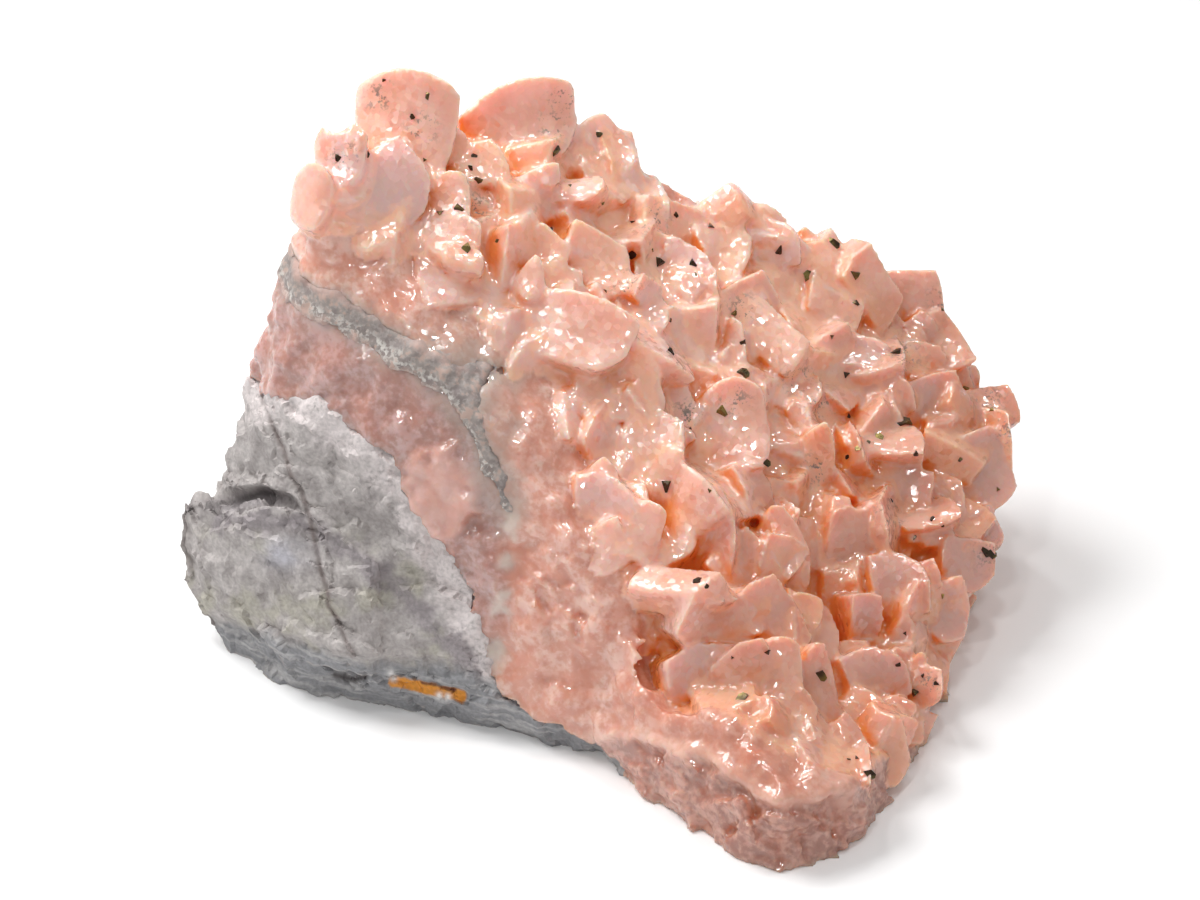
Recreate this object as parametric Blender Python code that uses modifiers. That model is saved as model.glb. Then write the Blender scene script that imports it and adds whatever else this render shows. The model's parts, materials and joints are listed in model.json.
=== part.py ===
"""Pink saddle dolomite with chalcopyrite, on a lump of grey dolostone.

Metres, +Z up. The lump lies on its flat underside, whose middle is the origin. +X runs across the
front, from the grey end to the near tip of the crust, and +Y runs to the back.
"""
import math
import random

import bmesh
import bpy
from mathutils import Matrix, Vector
from mathutils.bvhtree import BVHTree
from mathutils.geometry import intersect_line_plane

MM = 0.001

# The lump of stone before its layers are parted, as corner points in mm.
STONE_BODY = [
    (-29, 4.8, -2), (-27.5, 1.6, -2), (-23, -1.1, -2), (-11, -4.6, -2), (0, -8.8, -2), (22, -9, -2),
    (26, 2, -2), (27, 13, -2), (17, 22, -2), (-8, 24, -2), (-22, 19, -2),
    (-29.5, 3, 4), (-22.6, -2.8, 4), (-11, -6.5, 4), (0, -10.3, 2),
    (-30, 8, 10), (-27.3, 10, 20), (-25, 11.5, 25), (-22.7, 12, 33),
    (-20.8, 8, 35.5), (-14, 17, 39), (2.5, 21.5, 33), (20, 21.5, 23), (29.5, 13.5, 13),
    (-13.5, 2.5, 29.5), (-5, -3.5, 20.5), (0, -8, 12.5),
    (-20, 22, 22), (-8, 26, 26), (18, 25, 15),
]
NEAR_TIP = [
    (3.7, -14.4, -2), (7.4, -18.4, -2), (10, -22, -2), (13, -23.4, -2), (17.6, -21.6, -2),
    (20.8, -17.8, -2), (24.5, -8, -2), (26, 2, -2), (0, 0, -2), (0, -8.6, -2),
    (0, -10.5, 3), (7.4, -17.4, 5), (13.2, -21.4, 7), (18.3, -19.8, 4.8), (0, -7, 11),
    (10, -9, 9), (22, -8, 3.5), (15, -14, 5.5),
]
LOW_BULGE = [
    (-33.2, 7, 7.5), (-32.8, 7, 11.5), (-32.8, 6, 3.8), (-30.6, 3.2, 2.5), (-28.7, 3, -2),
    (-22.8, -3.4, 4.2), (-17.2, -5.4, 4.6), (-16.5, -3.2, 13.2), (-22.6, 0.4, 15.6), (-29.2, 3.6, 13.8),
    (-22, 10, 12), (-15, 4, 8),
]
HOLLOW = (6.7, -15.8, -0.5)  # mm across, up and out of the slope, where the crust is open
HOLLOW_RADII = (4.4, 3.6, 4.0)
GRAIN_OF_LUMP = 1.5  # mm between the points of the broken surface
LUMP_TRIANGLES_KEPT = 0.14
SWELLS = (9.0, 1.5)  # mm from one swell of the surface to the next, and their height
CHIPS = (3.0, 0.8)

# The layers are drawn on an upright section along the broken front: mm along it, then mm up.
SECTION_ALONG = Vector((0.83, -0.56, 0)).normalized()
SECTION_INTO = Vector((0.56, 0.83, 0)).normalized()
ROCK_TOP = [
    (-45, 15), (-27.4, 21), (-18.6, 23.2), (-12.3, 20.3), (-7.5, 14.2), (-4.6, 9.3), (-2.5, 4.3),
    (2, 2.6), (8, 1), (12, -3), (-45, -3),
]
SEAM_LINE = [  # mm along, mm up, half thickness
    (-40, 33, 1.0), (-32, 31.5, 1.1), (-24, 30, 1.2), (-19.4, 30, 1.1), (-15.8, 28.7, 1.0),
    (-11.3, 27.3, 0.9), (-8.6, 25.7, 0.8), (-6.5, 22.8, 0.6), (-4.7, 19.9, 0.4), (-3.8, 17.9, 0.15),
]
LAYER_GAP = 0.3
CRUMB = 0.03  # mm, the smallest feature kept where crystals cross
SEAM_BACK = 1.0  # mm behind the section, where the seam ends

# Places on the crystals are sighted from one standpoint: mm across and mm up on an upright sheet
# through the middle of the lump.
EYE_RISE = 35.0
EYE_DISTANCE = 280.0
SIGHT_MIDDLE = Vector((0, 0, 21.1))

# The druse is a slope of crystals that faces right, front and up.
DRUSE_OUT = Vector((0.45, -0.46, 0.76)).normalized()
DRUSE_HEIGHT = 17.0
DRUSE_EDGE = [  # its outline, as sighted
    (-21, 18.5), (-19.5, 24), (-14, 26), (-4, 26), (3, 21.5), (9, 16), (14, 16), (23, 12),
    (27, 6), (30, 2), (30, -4), (28.5, -10), (25, -15.5), (23, -21), (19, -24.5), (13, -22.5),
    (3.7, -16), (0, -8), (-2.5, 1), (-8.3, 7), (-12.5, 11.5), (-17.5, 15.5),
]

# The large crystals: mm across, mm up, mm out of the slope, height, width, turn to the right,
# rise of the face and roll in its plane, in degrees.
LARGE_CRYSTALS = [
    (-13.4, 24.2, 0.5, 8.4, 7.8, -12, 28, 12),
    (-18.6, 21.2, 0.4, 5.0, 5.2, -30, 34, 20),
    (-6.0, 24.6, 0.5, 7.4, 8.8, 8, 26, -15),
    (-16.7, 20.0, 0.8, 7.0, 7.8, -22, 48, 35),
    (-21.0, 18.2, -0.5, 6.0, 4.2, -42, 22, 10),
    (0.3, 22.0, 0.4, 7.0, 7.8, 18, 42, 40),
    (-1.6, 19.2, 0.8, 3.6, 5.6, -5, 62, 5),
    (-4.8, 18.6, 0.2, 5.4, 5.2, 12, 24, -22),
    (-0.4, 13.9, 0.6, 7.6, 7.2, 6, 32, 25),
    (-5.0, 12.7, 0.8, 4.2, 3.0, -28, 40, 0),
    (-10.7, 15.6, 0.4, 4.6, 6.0, -8, 58, -10),
    (3.2, 18.5, 0.0, 6.4, 6.0, 32, 46, 20),
    (-1.9, 8.8, 0.8, 7.0, 11.0, -10, 44, -8),
    (2.6, 5.2, 0.6, 7.4, 5.0, -28, 24, 6),
    (6.0, 8.2, 0.2, 6.0, 3.8, 28, 34, 15),
    (5.6, 3.2, -0.2, 5.2, 4.0, 10, 40, -20),
    (10.2, 1.5, 1.0, 9.4, 7.6, 2, 38, 18),
    (15.7, -0.7, 0.4, 8.4, 4.6, -22, 14, -12),
    (20.8, 0.5, 0.6, 5.0, 7.6, 6, 52, -8),
    (8.3, -5.5, 0.4, 8.6, 4.8, -26, 28, 6),
    (6.1, -9.8, 1.0, 3.6, 7.2, -8, 78, -4),
    (13.5, -6.9, 0.8, 6.8, 5.2, -6, 50, 22),
    (18.6, -5.9, 0.2, 5.0, 4.8, 18, 36, -18),
    (24.1, -5.0, 0.4, 4.0, 5.8, 10, 56, 12),
    (28.2, -1.6, 0.4, 8.6, 7.8, 20, 34, 20),
    (28.8, 3.1, 0.0, 4.2, 5.2, 34, 52, -12),
    (25.2, 7.7, 0.4, 6.4, 6.6, 16, 50, 32),
    (22.4, 11.7, 0.2, 5.2, 7.6, 8, 38, 0),
    (12.3, 15.6, 0.4, 4.8, 5.6, -4, 50, 20),
    (18.4, 7.4, 0.6, 3.8, 7.8, 2, 62, -6),
    (12.4, 8.6, 0.4, 4.6, 9.0, -6, 46, -36),
    (22.2, -9.5, 0.6, 5.6, 4.8, -4, 48, 18),
    (25.8, -12.2, 0.4, 5.8, 5.0, 22, 34, -10),
    (13.1, -17.8, 0.6, 8.4, 5.6, -18, 30, 8),
    (16.2, -17.9, 0.5, 8.2, 4.6, 26, 28, -6),
    (7.6, -16.8, -2.6, 6.0, 6.0, -10, 36, 30),
    (10.0, -12.3, 0.2, 4.8, 5.8, 4, 52, 10),
    (15.1, -11.9, 0.6, 3.8, 4.0, -14, 26, 38),
    (20.2, -16.3, 0.2, 5.4, 5.2, 20, 44, 14),
    (23.8, -17.4, 0.4, 4.4, 3.6, 6, 30, 0),
    (21.5, -19.4, 0.6, 3.2, 5.2, -6, 50, 22),
    (21.6, -22.6, 1.4, 6.0, 4.4, 10, 28, -14),
    (18.2, -23.4, 1.6, 5.8, 4.4, -20, 38, 10),
    (-3.0, 22.0, -1.6, 7.0, 6.0, 10, 36, 10),
    (19.8, 9.6, -0.8, 5.6, 5.6, 12, 38, 24),
    (26.6, 4.4, -0.8, 5.6, 5.4, 24, 40, -14),
    (5.3, 0.8, -0.4, 3.6, 3.4, -12, 32, 24),
    (19.5, -12.2, -0.2, 4.4, 3.2, 12, 30, 0),
    (16.4, -14.1, -0.4, 3.2, 3.4, -8, 56, 14),
    (22.7, -13.9, 0.0, 4.0, 3.0, 20, 26, -8),
    (28.6, -6.0, 0.0, 4.8, 4.6, 36, 34, 16),
    (27.1, -8.2, -0.2, 4.2, 5.4, 18, 44, -10),
    (17.4, 11.2, 0.2, 4.8, 6.0, 14, 46, -24),
    (8.8, 15.6, -0.2, 5.0, 5.4, 20, 36, 12),
    (6.8, 13.0, 0.2, 5.2, 5.6, -14, 42, -16),
    (0.2, -3.8, -0.4, 5.8, 5.0, -16, 30, 14),
    (-1.0, -7.2, -0.6, 5.4, 4.6, -30, 26, -12),
    (-8.9, 21.5, 0.2, 4.6, 6.2, -10, 56, -18),
    (-11.2, 18.6, 0.2, 4.8, 5.4, -24, 38, 14),
    (20.4, 4.2, 0.0, 4.4, 6.4, -10, 42, 26),
    (14.5, 4.2, -0.2, 5.0, 5.0, 20, 44, -28),
    (24.5, 3.8, 0.0, 5.0, 5.8, 22, 36, 8),
    (3.0, -6.0, -0.2, 5.4, 5.0, -4, 34, -24),
    (10.6, -20.2, -0.8, 4.8, 5.2, -14, 40, 18),
    (14.2, -21.6, -0.2, 4.6, 5.0, 4, 36, -14),
    (-4.0, 14.8, 0.0, 4.6, 4.8, -16, 34, 20),
    (3.0, 9.7, 0.0, 5.2, 5.4, 24, 40, -30),
]

# Smaller crystals fill the slope between them.
FILL_SPACING = 4.0
FILL_CLEAR = 1.9  # mm from the middle of a large crystal
FILL_SIZE = (3.8, 5.6)
FILL_OUT = (-1.6, 0.1)
FILL_TURN = (-45, 60)
FILL_RISE = (15, 75)
SEED = 17

CRYSTAL_SADDLE = 0.13  # of its height, by which two corners curl up and two down
CRYSTAL_SWELL = 1.24  # by which its edges bow outwards
CRYSTAL_ROOT = 0.85  # of its height, down into the crust
CRYSTAL_TAPER = 0.62


# The larger chalcopyrite crystals: mm across, mm up and mm wide, as sighted on the druse.
CHALCOPYRITE = [
    (-3.3, 22.1, 0.9), (-10.4, 17.9, 0.9), (-11.9, 17.6, 0.7), (-9.9, 15.0, 0.9), (-9.0, 20.0, 0.6),
    (-19.4, 21.6, 0.7), (-12.8, 26.2, 0.6), (2.3, 14.5, 1.0), (4.4, 13.9, 0.9), (5.6, 17.4, 0.6),
    (6.9, 13.8, 0.8), (5.2, 7.3, 0.7), (9.9, 10.1, 0.6), (10.6, 5.8, 0.9), (13.3, 14.8, 0.8),
    (15.3, 12.9, 0.9), (18.9, 13.0, 0.8), (19.0, 10.9, 0.7), (22.0, 7.3, 1.1), (18.2, 5.6, 0.7),
    (9.1, 2.8, 1.0), (12.4, -1.0, 0.7), (22.6, 2.1, 1.2), (20.7, 1.0, 0.8), (4.9, -2.6, 0.9),
    (27.1, 4.6, 0.6), (7.2, -9.7, 0.8), (28.6, -7.6, 0.9), (16.4, -16.7, 1.0), (10.6, -18.3, 1.0),
    (23.3, -17.9, 0.9), (20.0, -23.9, 0.9),
]
CHALCOPYRITE_GAP = 0.05
CHALCOPYRITE_TALL = 0.75  # of its width
CHALCOPYRITE_TIP = 0.3  # width of the blunt tip, of the width at the foot

# name: (colour, roughness, metallic)
LOOKS = {
    "matrix_rock": ((0.36, 0.35, 0.33), 0.85, 0),
    "dolomite_crust": ((0.86, 0.47, 0.37), 0.35, 0),
    "grey_seam": ((0.34, 0.35, 0.31), 0.8, 0),
    "chalcopyrite": ((0.16, 0.11, 0.04), 0.35, 0.8),
}


def clear_scene():
    for obj in list(bpy.data.objects):
        bpy.data.objects.remove(obj)


def new_collection(name, hidden=False):
    collection = bpy.data.collections.new(name)
    collection.hide_render = hidden
    bpy.context.scene.collection.children.link(collection)
    return collection


def add_mesh(name, shell, collection):
    mesh = bpy.data.meshes.new(name)
    shell.to_mesh(mesh)
    shell.free()
    obj = bpy.data.objects.new(name, mesh)
    collection.objects.link(obj)
    if collection.hide_render:
        obj.hide_render = True
        obj.display_type = "WIRE"
    return obj


def hull(name, points_mm, collection):
    shell = bmesh.new()
    for point in points_mm:
        shell.verts.new(Vector(point) * MM)
    made = bmesh.ops.convex_hull(shell, input=shell.verts)
    bmesh.ops.delete(shell, geom=made["geom_interior"], context="VERTS")
    bmesh.ops.recalc_face_normals(shell, faces=shell.faces)
    return add_mesh(name, shell, collection)


def settle(obj):
    """Bakes an object's modifiers into its mesh."""
    graph = bpy.context.evaluated_depsgraph_get()
    baked = bpy.data.meshes.new_from_object(obj.evaluated_get(graph))
    obj.modifiers.clear()
    obj.data = baked


def add_boolean(obj, operation, other=None, collection=None, solver="EXACT"):
    modifier = obj.modifiers.new(operation.title(), "BOOLEAN")
    modifier.operation = operation
    modifier.solver = solver
    if collection:
        modifier.operand_type = "COLLECTION"
        modifier.collection = collection
    else:
        modifier.object = other


def add_clouds(obj, name, spacing, height):
    """Swells the surface by a cloud pattern, spacing mm from crest to crest and height mm tall."""
    texture = bpy.data.textures.new(name, "CLOUDS")
    texture.noise_scale = spacing * MM
    texture.noise_depth = 1
    modifier = obj.modifiers.new(name, "DISPLACE")
    modifier.texture = texture
    modifier.texture_coords = "LOCAL"
    modifier.mid_level = 0.5
    modifier.strength = height * MM


def copy_of(obj, name, collection):
    copy = bpy.data.objects.new(name, obj.data.copy())
    collection.objects.link(copy)
    return copy


def keep_outer_shell(obj):
    """Merges points that all but touch, and drops every shell but the largest.

    Crossing shapes leave sealed voids and crumbs, which would be bodies of their own.
    """
    shell = bmesh.new()
    shell.from_mesh(obj.data)
    bmesh.ops.triangulate(shell, faces=shell.faces)
    bmesh.ops.remove_doubles(shell, verts=shell.verts, dist=CRUMB * MM)
    unseen = set(shell.faces)
    shells = []
    while unseen:
        waiting = [unseen.pop()]
        found = set(waiting)
        while waiting:
            pairs = [edge.link_faces for edge in waiting.pop().edges if len(edge.link_faces) == 2]
            near = {face for pair in pairs for face in pair} & unseen
            unseen -= near
            found |= near
            waiting += near
        shells.append(found)
    largest = max(shells, key=len)
    extra = [face for face in shell.faces if face not in largest]
    bmesh.ops.delete(shell, geom=extra, context="FACES")
    shell.to_mesh(obj.data)
    shell.free()


def rough_lump(collection):
    lump = hull("lump", STONE_BODY, collection)
    for name, points in (("near_tip", NEAR_TIP), ("low_bulge", LOW_BULGE)):
        add_boolean(lump, "UNION", hull(name, points, collection))
    remesh = lump.modifiers.new("Grain", "REMESH")
    remesh.mode = "VOXEL"
    remesh.voxel_size = GRAIN_OF_LUMP * MM
    add_clouds(lump, "Swells", *SWELLS)
    add_clouds(lump, "Chips", *CHIPS)
    decimate = lump.modifiers.new("Facets", "DECIMATE")
    decimate.ratio = LUMP_TRIANGLES_KEPT
    settle(lump)
    add_boolean(lump, "DIFFERENCE", hollow(collection))
    settle(lump)
    return lump


def box(name, low, high, collection):
    shell = bmesh.new()
    low, high = Vector(low) * MM, Vector(high) * MM
    size = high - low
    place = Matrix.Translation((low + high) / 2) @ Matrix.Diagonal((*size, 1))
    bmesh.ops.create_cube(shell, size=1, matrix=place)
    return add_mesh(name, shell, collection)


def hollow(collection):
    shell = bmesh.new()
    bmesh.ops.create_icosphere(shell, subdivisions=2, radius=MM)
    stretch = Matrix.Diagonal((*HOLLOW_RADII, 1))
    place = Matrix.Translation(on_slope(*HOLLOW) * MM)
    tilt = DRUSE_OUT.to_track_quat("Z", "Y").to_matrix().to_4x4()
    bmesh.ops.transform(shell, matrix=place @ tilt @ stretch, verts=shell.verts)
    return add_mesh("hollow", shell, collection)


def section_slab(name, outline, near, far, collection):
    """Stands an outline drawn on the section, in mm, up as a slab from near to far behind it."""
    shell = bmesh.new()
    start = SECTION_INTO * near
    corners = [shell.verts.new((start + SECTION_ALONG * a + Vector((0, 0, z))) * MM) for a, z in outline]
    face = shell.faces.new(corners)
    grown = bmesh.ops.extrude_face_region(shell, geom=[face])
    moved = [item for item in grown["geom"] if isinstance(item, bmesh.types.BMVert)]
    bmesh.ops.translate(shell, verts=moved, vec=SECTION_INTO * (far - near) * MM)
    bmesh.ops.recalc_face_normals(shell, faces=shell.faces)
    return add_mesh(name, shell, collection)


def grown_outline(outline, gap):
    """The rock's outline, moved outwards by the gap along its upper side."""
    count = len(outline)
    grown = []
    for index, (a, z) in enumerate(outline):
        before = Vector(outline[index - 1])
        after = Vector(outline[(index + 1) % count])
        along = (after - before).normalized()
        grown.append((a - along.y * gap, z + along.x * gap))
    return grown


def seam_outline(gap):
    """The seam's two sides, as one loop round its middle line."""
    upper, lower = [], []
    for index, (a, z, half) in enumerate(SEAM_LINE):
        before = Vector(SEAM_LINE[max(index - 1, 0)][:2])
        after = Vector(SEAM_LINE[min(index + 1, len(SEAM_LINE) - 1)][:2])
        along = (after - before).normalized()
        side = Vector((-along.y, along.x)) * (half + gap)
        upper.append((a + side.x, z + side.y))
        lower.append((a - side.x, z - side.y))
    return upper + lower[::-1]


def eye():
    rise = math.radians(EYE_RISE)
    return SIGHT_MIDDLE - EYE_DISTANCE * Vector((0, math.cos(rise), -math.sin(rise)))


def sight_point(across, up):
    rise = math.radians(EYE_RISE)
    return SIGHT_MIDDLE + Vector((across, up * math.sin(rise), up * math.cos(rise)))


def on_slope(across, up, out):
    """The place sighted at across, up on the slope of crystals, out mm above it."""
    level = DRUSE_OUT * (DRUSE_HEIGHT + out)
    return intersect_line_plane(eye(), sight_point(across, up), level, DRUSE_OUT)


def facing(turn, rise, roll):
    """A matrix whose Z is a face's outward direction, X its width and Y its height."""
    turn, rise, roll = (math.radians(angle) for angle in (turn, rise, roll))
    out = Vector((math.sin(turn) * math.cos(rise), -math.cos(turn) * math.cos(rise), math.sin(rise)))
    right = Vector((math.cos(turn), math.sin(turn), 0))
    up = out.cross(right)
    frame = Matrix((right, up, out)).transposed()
    return frame @ Matrix.Rotation(roll, 3, "Z")


def crystal(name, middle, height, width, turn, rise, roll, bowed, collection):
    """A saddle-shaped rhomb on a tapering root that goes down into the crust."""
    shell = bmesh.new()
    bmesh.ops.create_cube(shell, size=2)
    if bowed:
        front = max(shell.faces, key=lambda face: face.calc_center_median().z)
        bmesh.ops.subdivide_edges(shell, edges=front.edges, cuts=1, use_grid_fill=True)
    frame = facing(turn, rise, roll)
    root = (DRUSE_OUT + frame.col[2]).normalized() * CRYSTAL_ROOT * height
    sideways = Vector((width / 4, height / 4, 0))
    upwards = Vector((-width / 4, height / 4, 0))
    for vert in shell.verts:
        a, b, face = vert.co
        at_middle_of_edge = abs(a) + abs(b) < 1.5
        swell = CRYSTAL_SWELL if at_middle_of_edge else 1
        flat = (sideways * a + upwards * b) * swell
        flat.z = CRYSTAL_SADDLE * height * a * b
        if face < 0:
            flat *= CRYSTAL_TAPER
            vert.co = frame @ flat - root
        else:
            vert.co = frame @ flat
        vert.co = (vert.co + middle) * MM
    return add_mesh(name, shell, collection)


def inside(across, up, outline):
    """Whether a sighted place lies within an outline."""
    found = False
    for index, (x, y) in enumerate(outline):
        last_x, last_y = outline[index - 1]
        if (y > up) != (last_y > up) and across < (last_x - x) * (up - y) / (last_y - y) + x:
            found = not found
    return found


def fill_crystals():
    """Rows like those of LARGE_CRYSTALS, on a jittered grid between them."""
    chance = random.Random(SEED)
    rows = []
    steps = int(70 / FILL_SPACING)
    for row in range(steps):
        for column in range(steps):
            across = -35 + (column + row % 2 / 2 + chance.uniform(-0.3, 0.3)) * FILL_SPACING
            up = -30 + (row + chance.uniform(-0.3, 0.3)) * FILL_SPACING * 0.9
            size = chance.uniform(*FILL_SIZE)
            shape = chance.uniform(0.75, 1.1)
            out = chance.uniform(*FILL_OUT)
            turn = chance.uniform(*FILL_TURN)
            rise = chance.uniform(*FILL_RISE)
            roll = chance.uniform(-45, 45)
            near = min(math.dist((across, up), large[:2]) for large in LARGE_CRYSTALS)
            if near > FILL_CLEAR and inside(across, up, DRUSE_EDGE):
                rows.append((across, up, out, size, size * shape, turn, rise, roll))
    return rows


def chalcopyrite(name, place, out, width, turn, collection):
    """A blunt wedge-like crystal that stands on a face of the crust, its foot just clear of it."""
    shell = bmesh.new()
    tall = width * CHALCOPYRITE_TALL
    tip = width / 2 * CHALCOPYRITE_TIP
    bmesh.ops.create_cone(shell, cap_ends=True, segments=3, radius1=width / 2, radius2=tip, depth=tall)
    stand = Matrix.Translation((0, 0, tall / 2 + CHALCOPYRITE_GAP)) @ Matrix.Rotation(turn, 4, "Z")
    tilt = out.to_track_quat("Z", "Y").to_matrix().to_4x4()
    place = Matrix.Translation(place) @ tilt @ stand
    bmesh.ops.transform(shell, matrix=Matrix.Scale(MM, 4) @ place, verts=shell.verts)
    return add_mesh(name, shell, collection)


def add_chalcopyrites(crust, collection):
    """Stands each crystal where its line of sight meets the crust."""
    shell = bmesh.new()
    shell.from_mesh(crust.data)
    tree = BVHTree.FromBMesh(shell)
    shell.free()
    made = []
    for number, (across, up, width) in enumerate(CHALCOPYRITE, start=1):
        sight = (sight_point(across, up) - eye()).normalized()
        place, out, _, _ = tree.ray_cast(eye() * MM, sight)
        name = f"chalcopyrite_{number:02}"
        made.append(chalcopyrite(name, place / MM, out, width, number, collection))
    return made


def give_look(obj, name):
    material = bpy.data.materials.get(name) or bpy.data.materials.new(name)
    material.use_nodes = True
    colour, roughness, metallic = LOOKS[name]
    surface = material.node_tree.nodes["Principled BSDF"].inputs
    surface["Base Color"].default_value = (*colour, 1)
    surface["Roughness"].default_value = roughness
    surface["Metallic"].default_value = metallic
    obj.data.materials.clear()
    obj.data.materials.append(material)


def make_crust(lump, rooms, crystals):
    """Joins the crystals of the slope to the lump, and cuts out the rooms of the other layers.

    EXACT leaves open edges where so many crystals cross, so these Booleans use MANIFOLD.
    """
    for number, (across, up, out, *shape) in enumerate(LARGE_CRYSTALS + fill_crystals()):
        bowed = number < len(LARGE_CRYSTALS)
        crystal(f"crystal_{number}", on_slope(across, up, out), *shape, bowed, crystals)
    add_boolean(lump, "UNION", collection=crystals, solver="MANIFOLD")
    for room in rooms:
        add_boolean(lump, "DIFFERENCE", room, solver="MANIFOLD")
    settle(lump)
    keep_outer_shell(lump)


def main():
    clear_scene()
    parts = new_collection("Dolomite with chalcopyrite")
    cutters = new_collection("Cutters", hidden=True)
    crystals = new_collection("Crystals", hidden=True)
    lump = rough_lump(cutters)
    ground = box("below_ground", (-60, -60, -30), (60, 60, 0), cutters)
    rock_zone = section_slab("rock_zone", ROCK_TOP, -60, 60, cutters)
    rock_room = section_slab("rock_room", grown_outline(ROCK_TOP, LAYER_GAP), -60, 60, cutters)
    seam_zone = section_slab("seam_zone", seam_outline(0), -60, SEAM_BACK, cutters)
    seam_room = section_slab("seam_room", seam_outline(LAYER_GAP), -60, SEAM_BACK + LAYER_GAP, cutters)

    rock = copy_of(lump, "matrix_rock", parts)
    add_boolean(rock, "INTERSECT", rock_zone)
    seam = copy_of(lump, "grey_seam", parts)
    add_boolean(seam, "INTERSECT", seam_zone)
    for layer in (rock, seam):
        add_boolean(layer, "DIFFERENCE", ground)
        settle(layer)
    crust = copy_of(lump, "dolomite_crust", parts)
    make_crust(crust, (rock_room, seam_room, ground), crystals)
    for layer in (rock, seam, crust):
        give_look(layer, layer.name)
    for stone in add_chalcopyrites(crust, parts):
        give_look(stone, "chalcopyrite")


if __name__ == "__main__":
    main()
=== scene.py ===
import json
import math
import random

import bmesh
import bpy
import numpy as np
from mathutils import Matrix, Quaternion, Vector, noise
from mathutils.bvhtree import BVHTree
from mathutils.geometry import intersect_line_plane

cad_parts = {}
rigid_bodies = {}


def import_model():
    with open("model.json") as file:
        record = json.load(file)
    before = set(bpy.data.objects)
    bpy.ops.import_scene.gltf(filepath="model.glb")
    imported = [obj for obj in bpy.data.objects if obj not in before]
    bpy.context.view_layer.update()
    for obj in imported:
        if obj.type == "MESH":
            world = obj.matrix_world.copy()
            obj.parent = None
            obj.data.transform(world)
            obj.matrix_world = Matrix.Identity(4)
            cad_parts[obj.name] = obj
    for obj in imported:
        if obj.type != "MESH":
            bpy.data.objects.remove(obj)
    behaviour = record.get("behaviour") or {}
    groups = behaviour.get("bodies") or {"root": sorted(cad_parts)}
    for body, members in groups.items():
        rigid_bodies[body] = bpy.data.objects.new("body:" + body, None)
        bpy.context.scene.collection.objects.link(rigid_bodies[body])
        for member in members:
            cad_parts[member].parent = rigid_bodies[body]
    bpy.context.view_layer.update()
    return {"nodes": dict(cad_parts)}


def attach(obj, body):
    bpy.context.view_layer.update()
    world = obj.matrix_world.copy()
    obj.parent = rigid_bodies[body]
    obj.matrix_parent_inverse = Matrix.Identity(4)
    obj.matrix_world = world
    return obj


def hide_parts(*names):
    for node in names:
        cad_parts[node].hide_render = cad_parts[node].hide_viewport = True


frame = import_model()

mm = 0.001
helpers = bpy.data.collections.new("helpers")


# sighting: places on the stone are named by mm across and mm up on an upright sheet
sight = {"rise": 35.0, "distance": 280.0, "middle": Vector((0, 0, 21.1)), "lens": 113.4}
sightRise = math.radians(sight["rise"])
sheetUp = Vector((0, math.sin(sightRise), math.cos(sightRise)))
sheetBack = Vector((0, math.cos(sightRise), -math.sin(sightRise)))
eye = sight["middle"] - sheetBack * sight["distance"]

druse = {"out": Vector((0.45, -0.46, 0.76)).normalized(), "height": 17.0}  # the slope of crystals


def sheetPoint(across, up):
    return sight["middle"] + Vector((across, 0, 0)) + sheetUp * up


def onSlope(across, up, out):
    level = druse["out"] * (druse["height"] + out)
    return intersect_line_plane(eye, sheetPoint(across, up), level, druse["out"])


def sighted(points):  # mm across and up for an array of points in mm
    away = points - np.array(eye)
    scale = sight["distance"] / (away @ np.array(sheetBack))
    place = away * scale[:, None] + np.array(eye - sight["middle"])
    return place[:, 0], place @ np.array(sheetUp)


# mesh helpers
def newObject(name, mesh, collection=None):
    obj = bpy.data.objects.new(name, mesh)
    (collection or bpy.context.scene.collection).objects.link(obj)
    return obj


def shellOf(mesh):
    shell = bmesh.new()
    shell.from_mesh(mesh)
    return shell


def fromShell(name, shell, collection=helpers):
    mesh = bpy.data.meshes.new(name)
    shell.to_mesh(mesh)
    shell.free()
    return newObject(name, mesh, collection)


def surfaceTree(mesh):  # for casting rays at a mesh
    shell = shellOf(mesh)
    tree = BVHTree.FromBMesh(shell)
    shell.free()
    return tree


def settle(obj):  # bakes the modifiers into the mesh
    graph = bpy.context.evaluated_depsgraph_get()
    baked = bpy.data.meshes.new_from_object(obj.evaluated_get(graph))
    obj.modifiers.clear()
    obj.data = baked


def addBoolean(obj, operation, other, solver="MANIFOLD"):
    modifier = obj.modifiers.new(operation, "BOOLEAN")
    modifier.operation = operation
    modifier.solver = solver
    modifier.object = other


def addRemesh(obj, size):  # one even skin, with points about size mm apart
    remesh = obj.modifiers.new("remesh", "REMESH")
    remesh.mode = "VOXEL"
    remesh.voxel_size = size * mm


def readRows(items, name):
    flat = np.empty(len(items) * 3, np.float32)
    items.foreach_get(name, flat)
    return flat.reshape(-1, 3).astype(float)


def pointsOf(mesh):
    return readRows(mesh.vertices, "co")


def normalsOf(mesh):
    return readRows(mesh.vertex_normals, "vector")


def movePoints(mesh, points):
    mesh.vertices.foreach_set("co", points.astype(np.float32).reshape(-1))
    mesh.update()


def setMasks(mesh, **masks):
    for name, values in masks.items():
        mask = mesh.attributes.get(name) or mesh.attributes.new(name, "FLOAT", "POINT")
        mask.data.foreach_set("value", np.clip(values, 0, 1).astype(np.float32))


def getMask(mesh, name):
    values = np.zeros(len(mesh.vertices), np.float32)
    if name in mesh.attributes:
        mesh.attributes[name].data.foreach_get("value", values)
    return values.astype(float)


def ramp(values, low, high):  # 0 at low, 1 at high, smooth between
    share = np.clip((values - low) / (high - low), 0, 1)
    return share * share * (3 - 2 * share)


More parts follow.
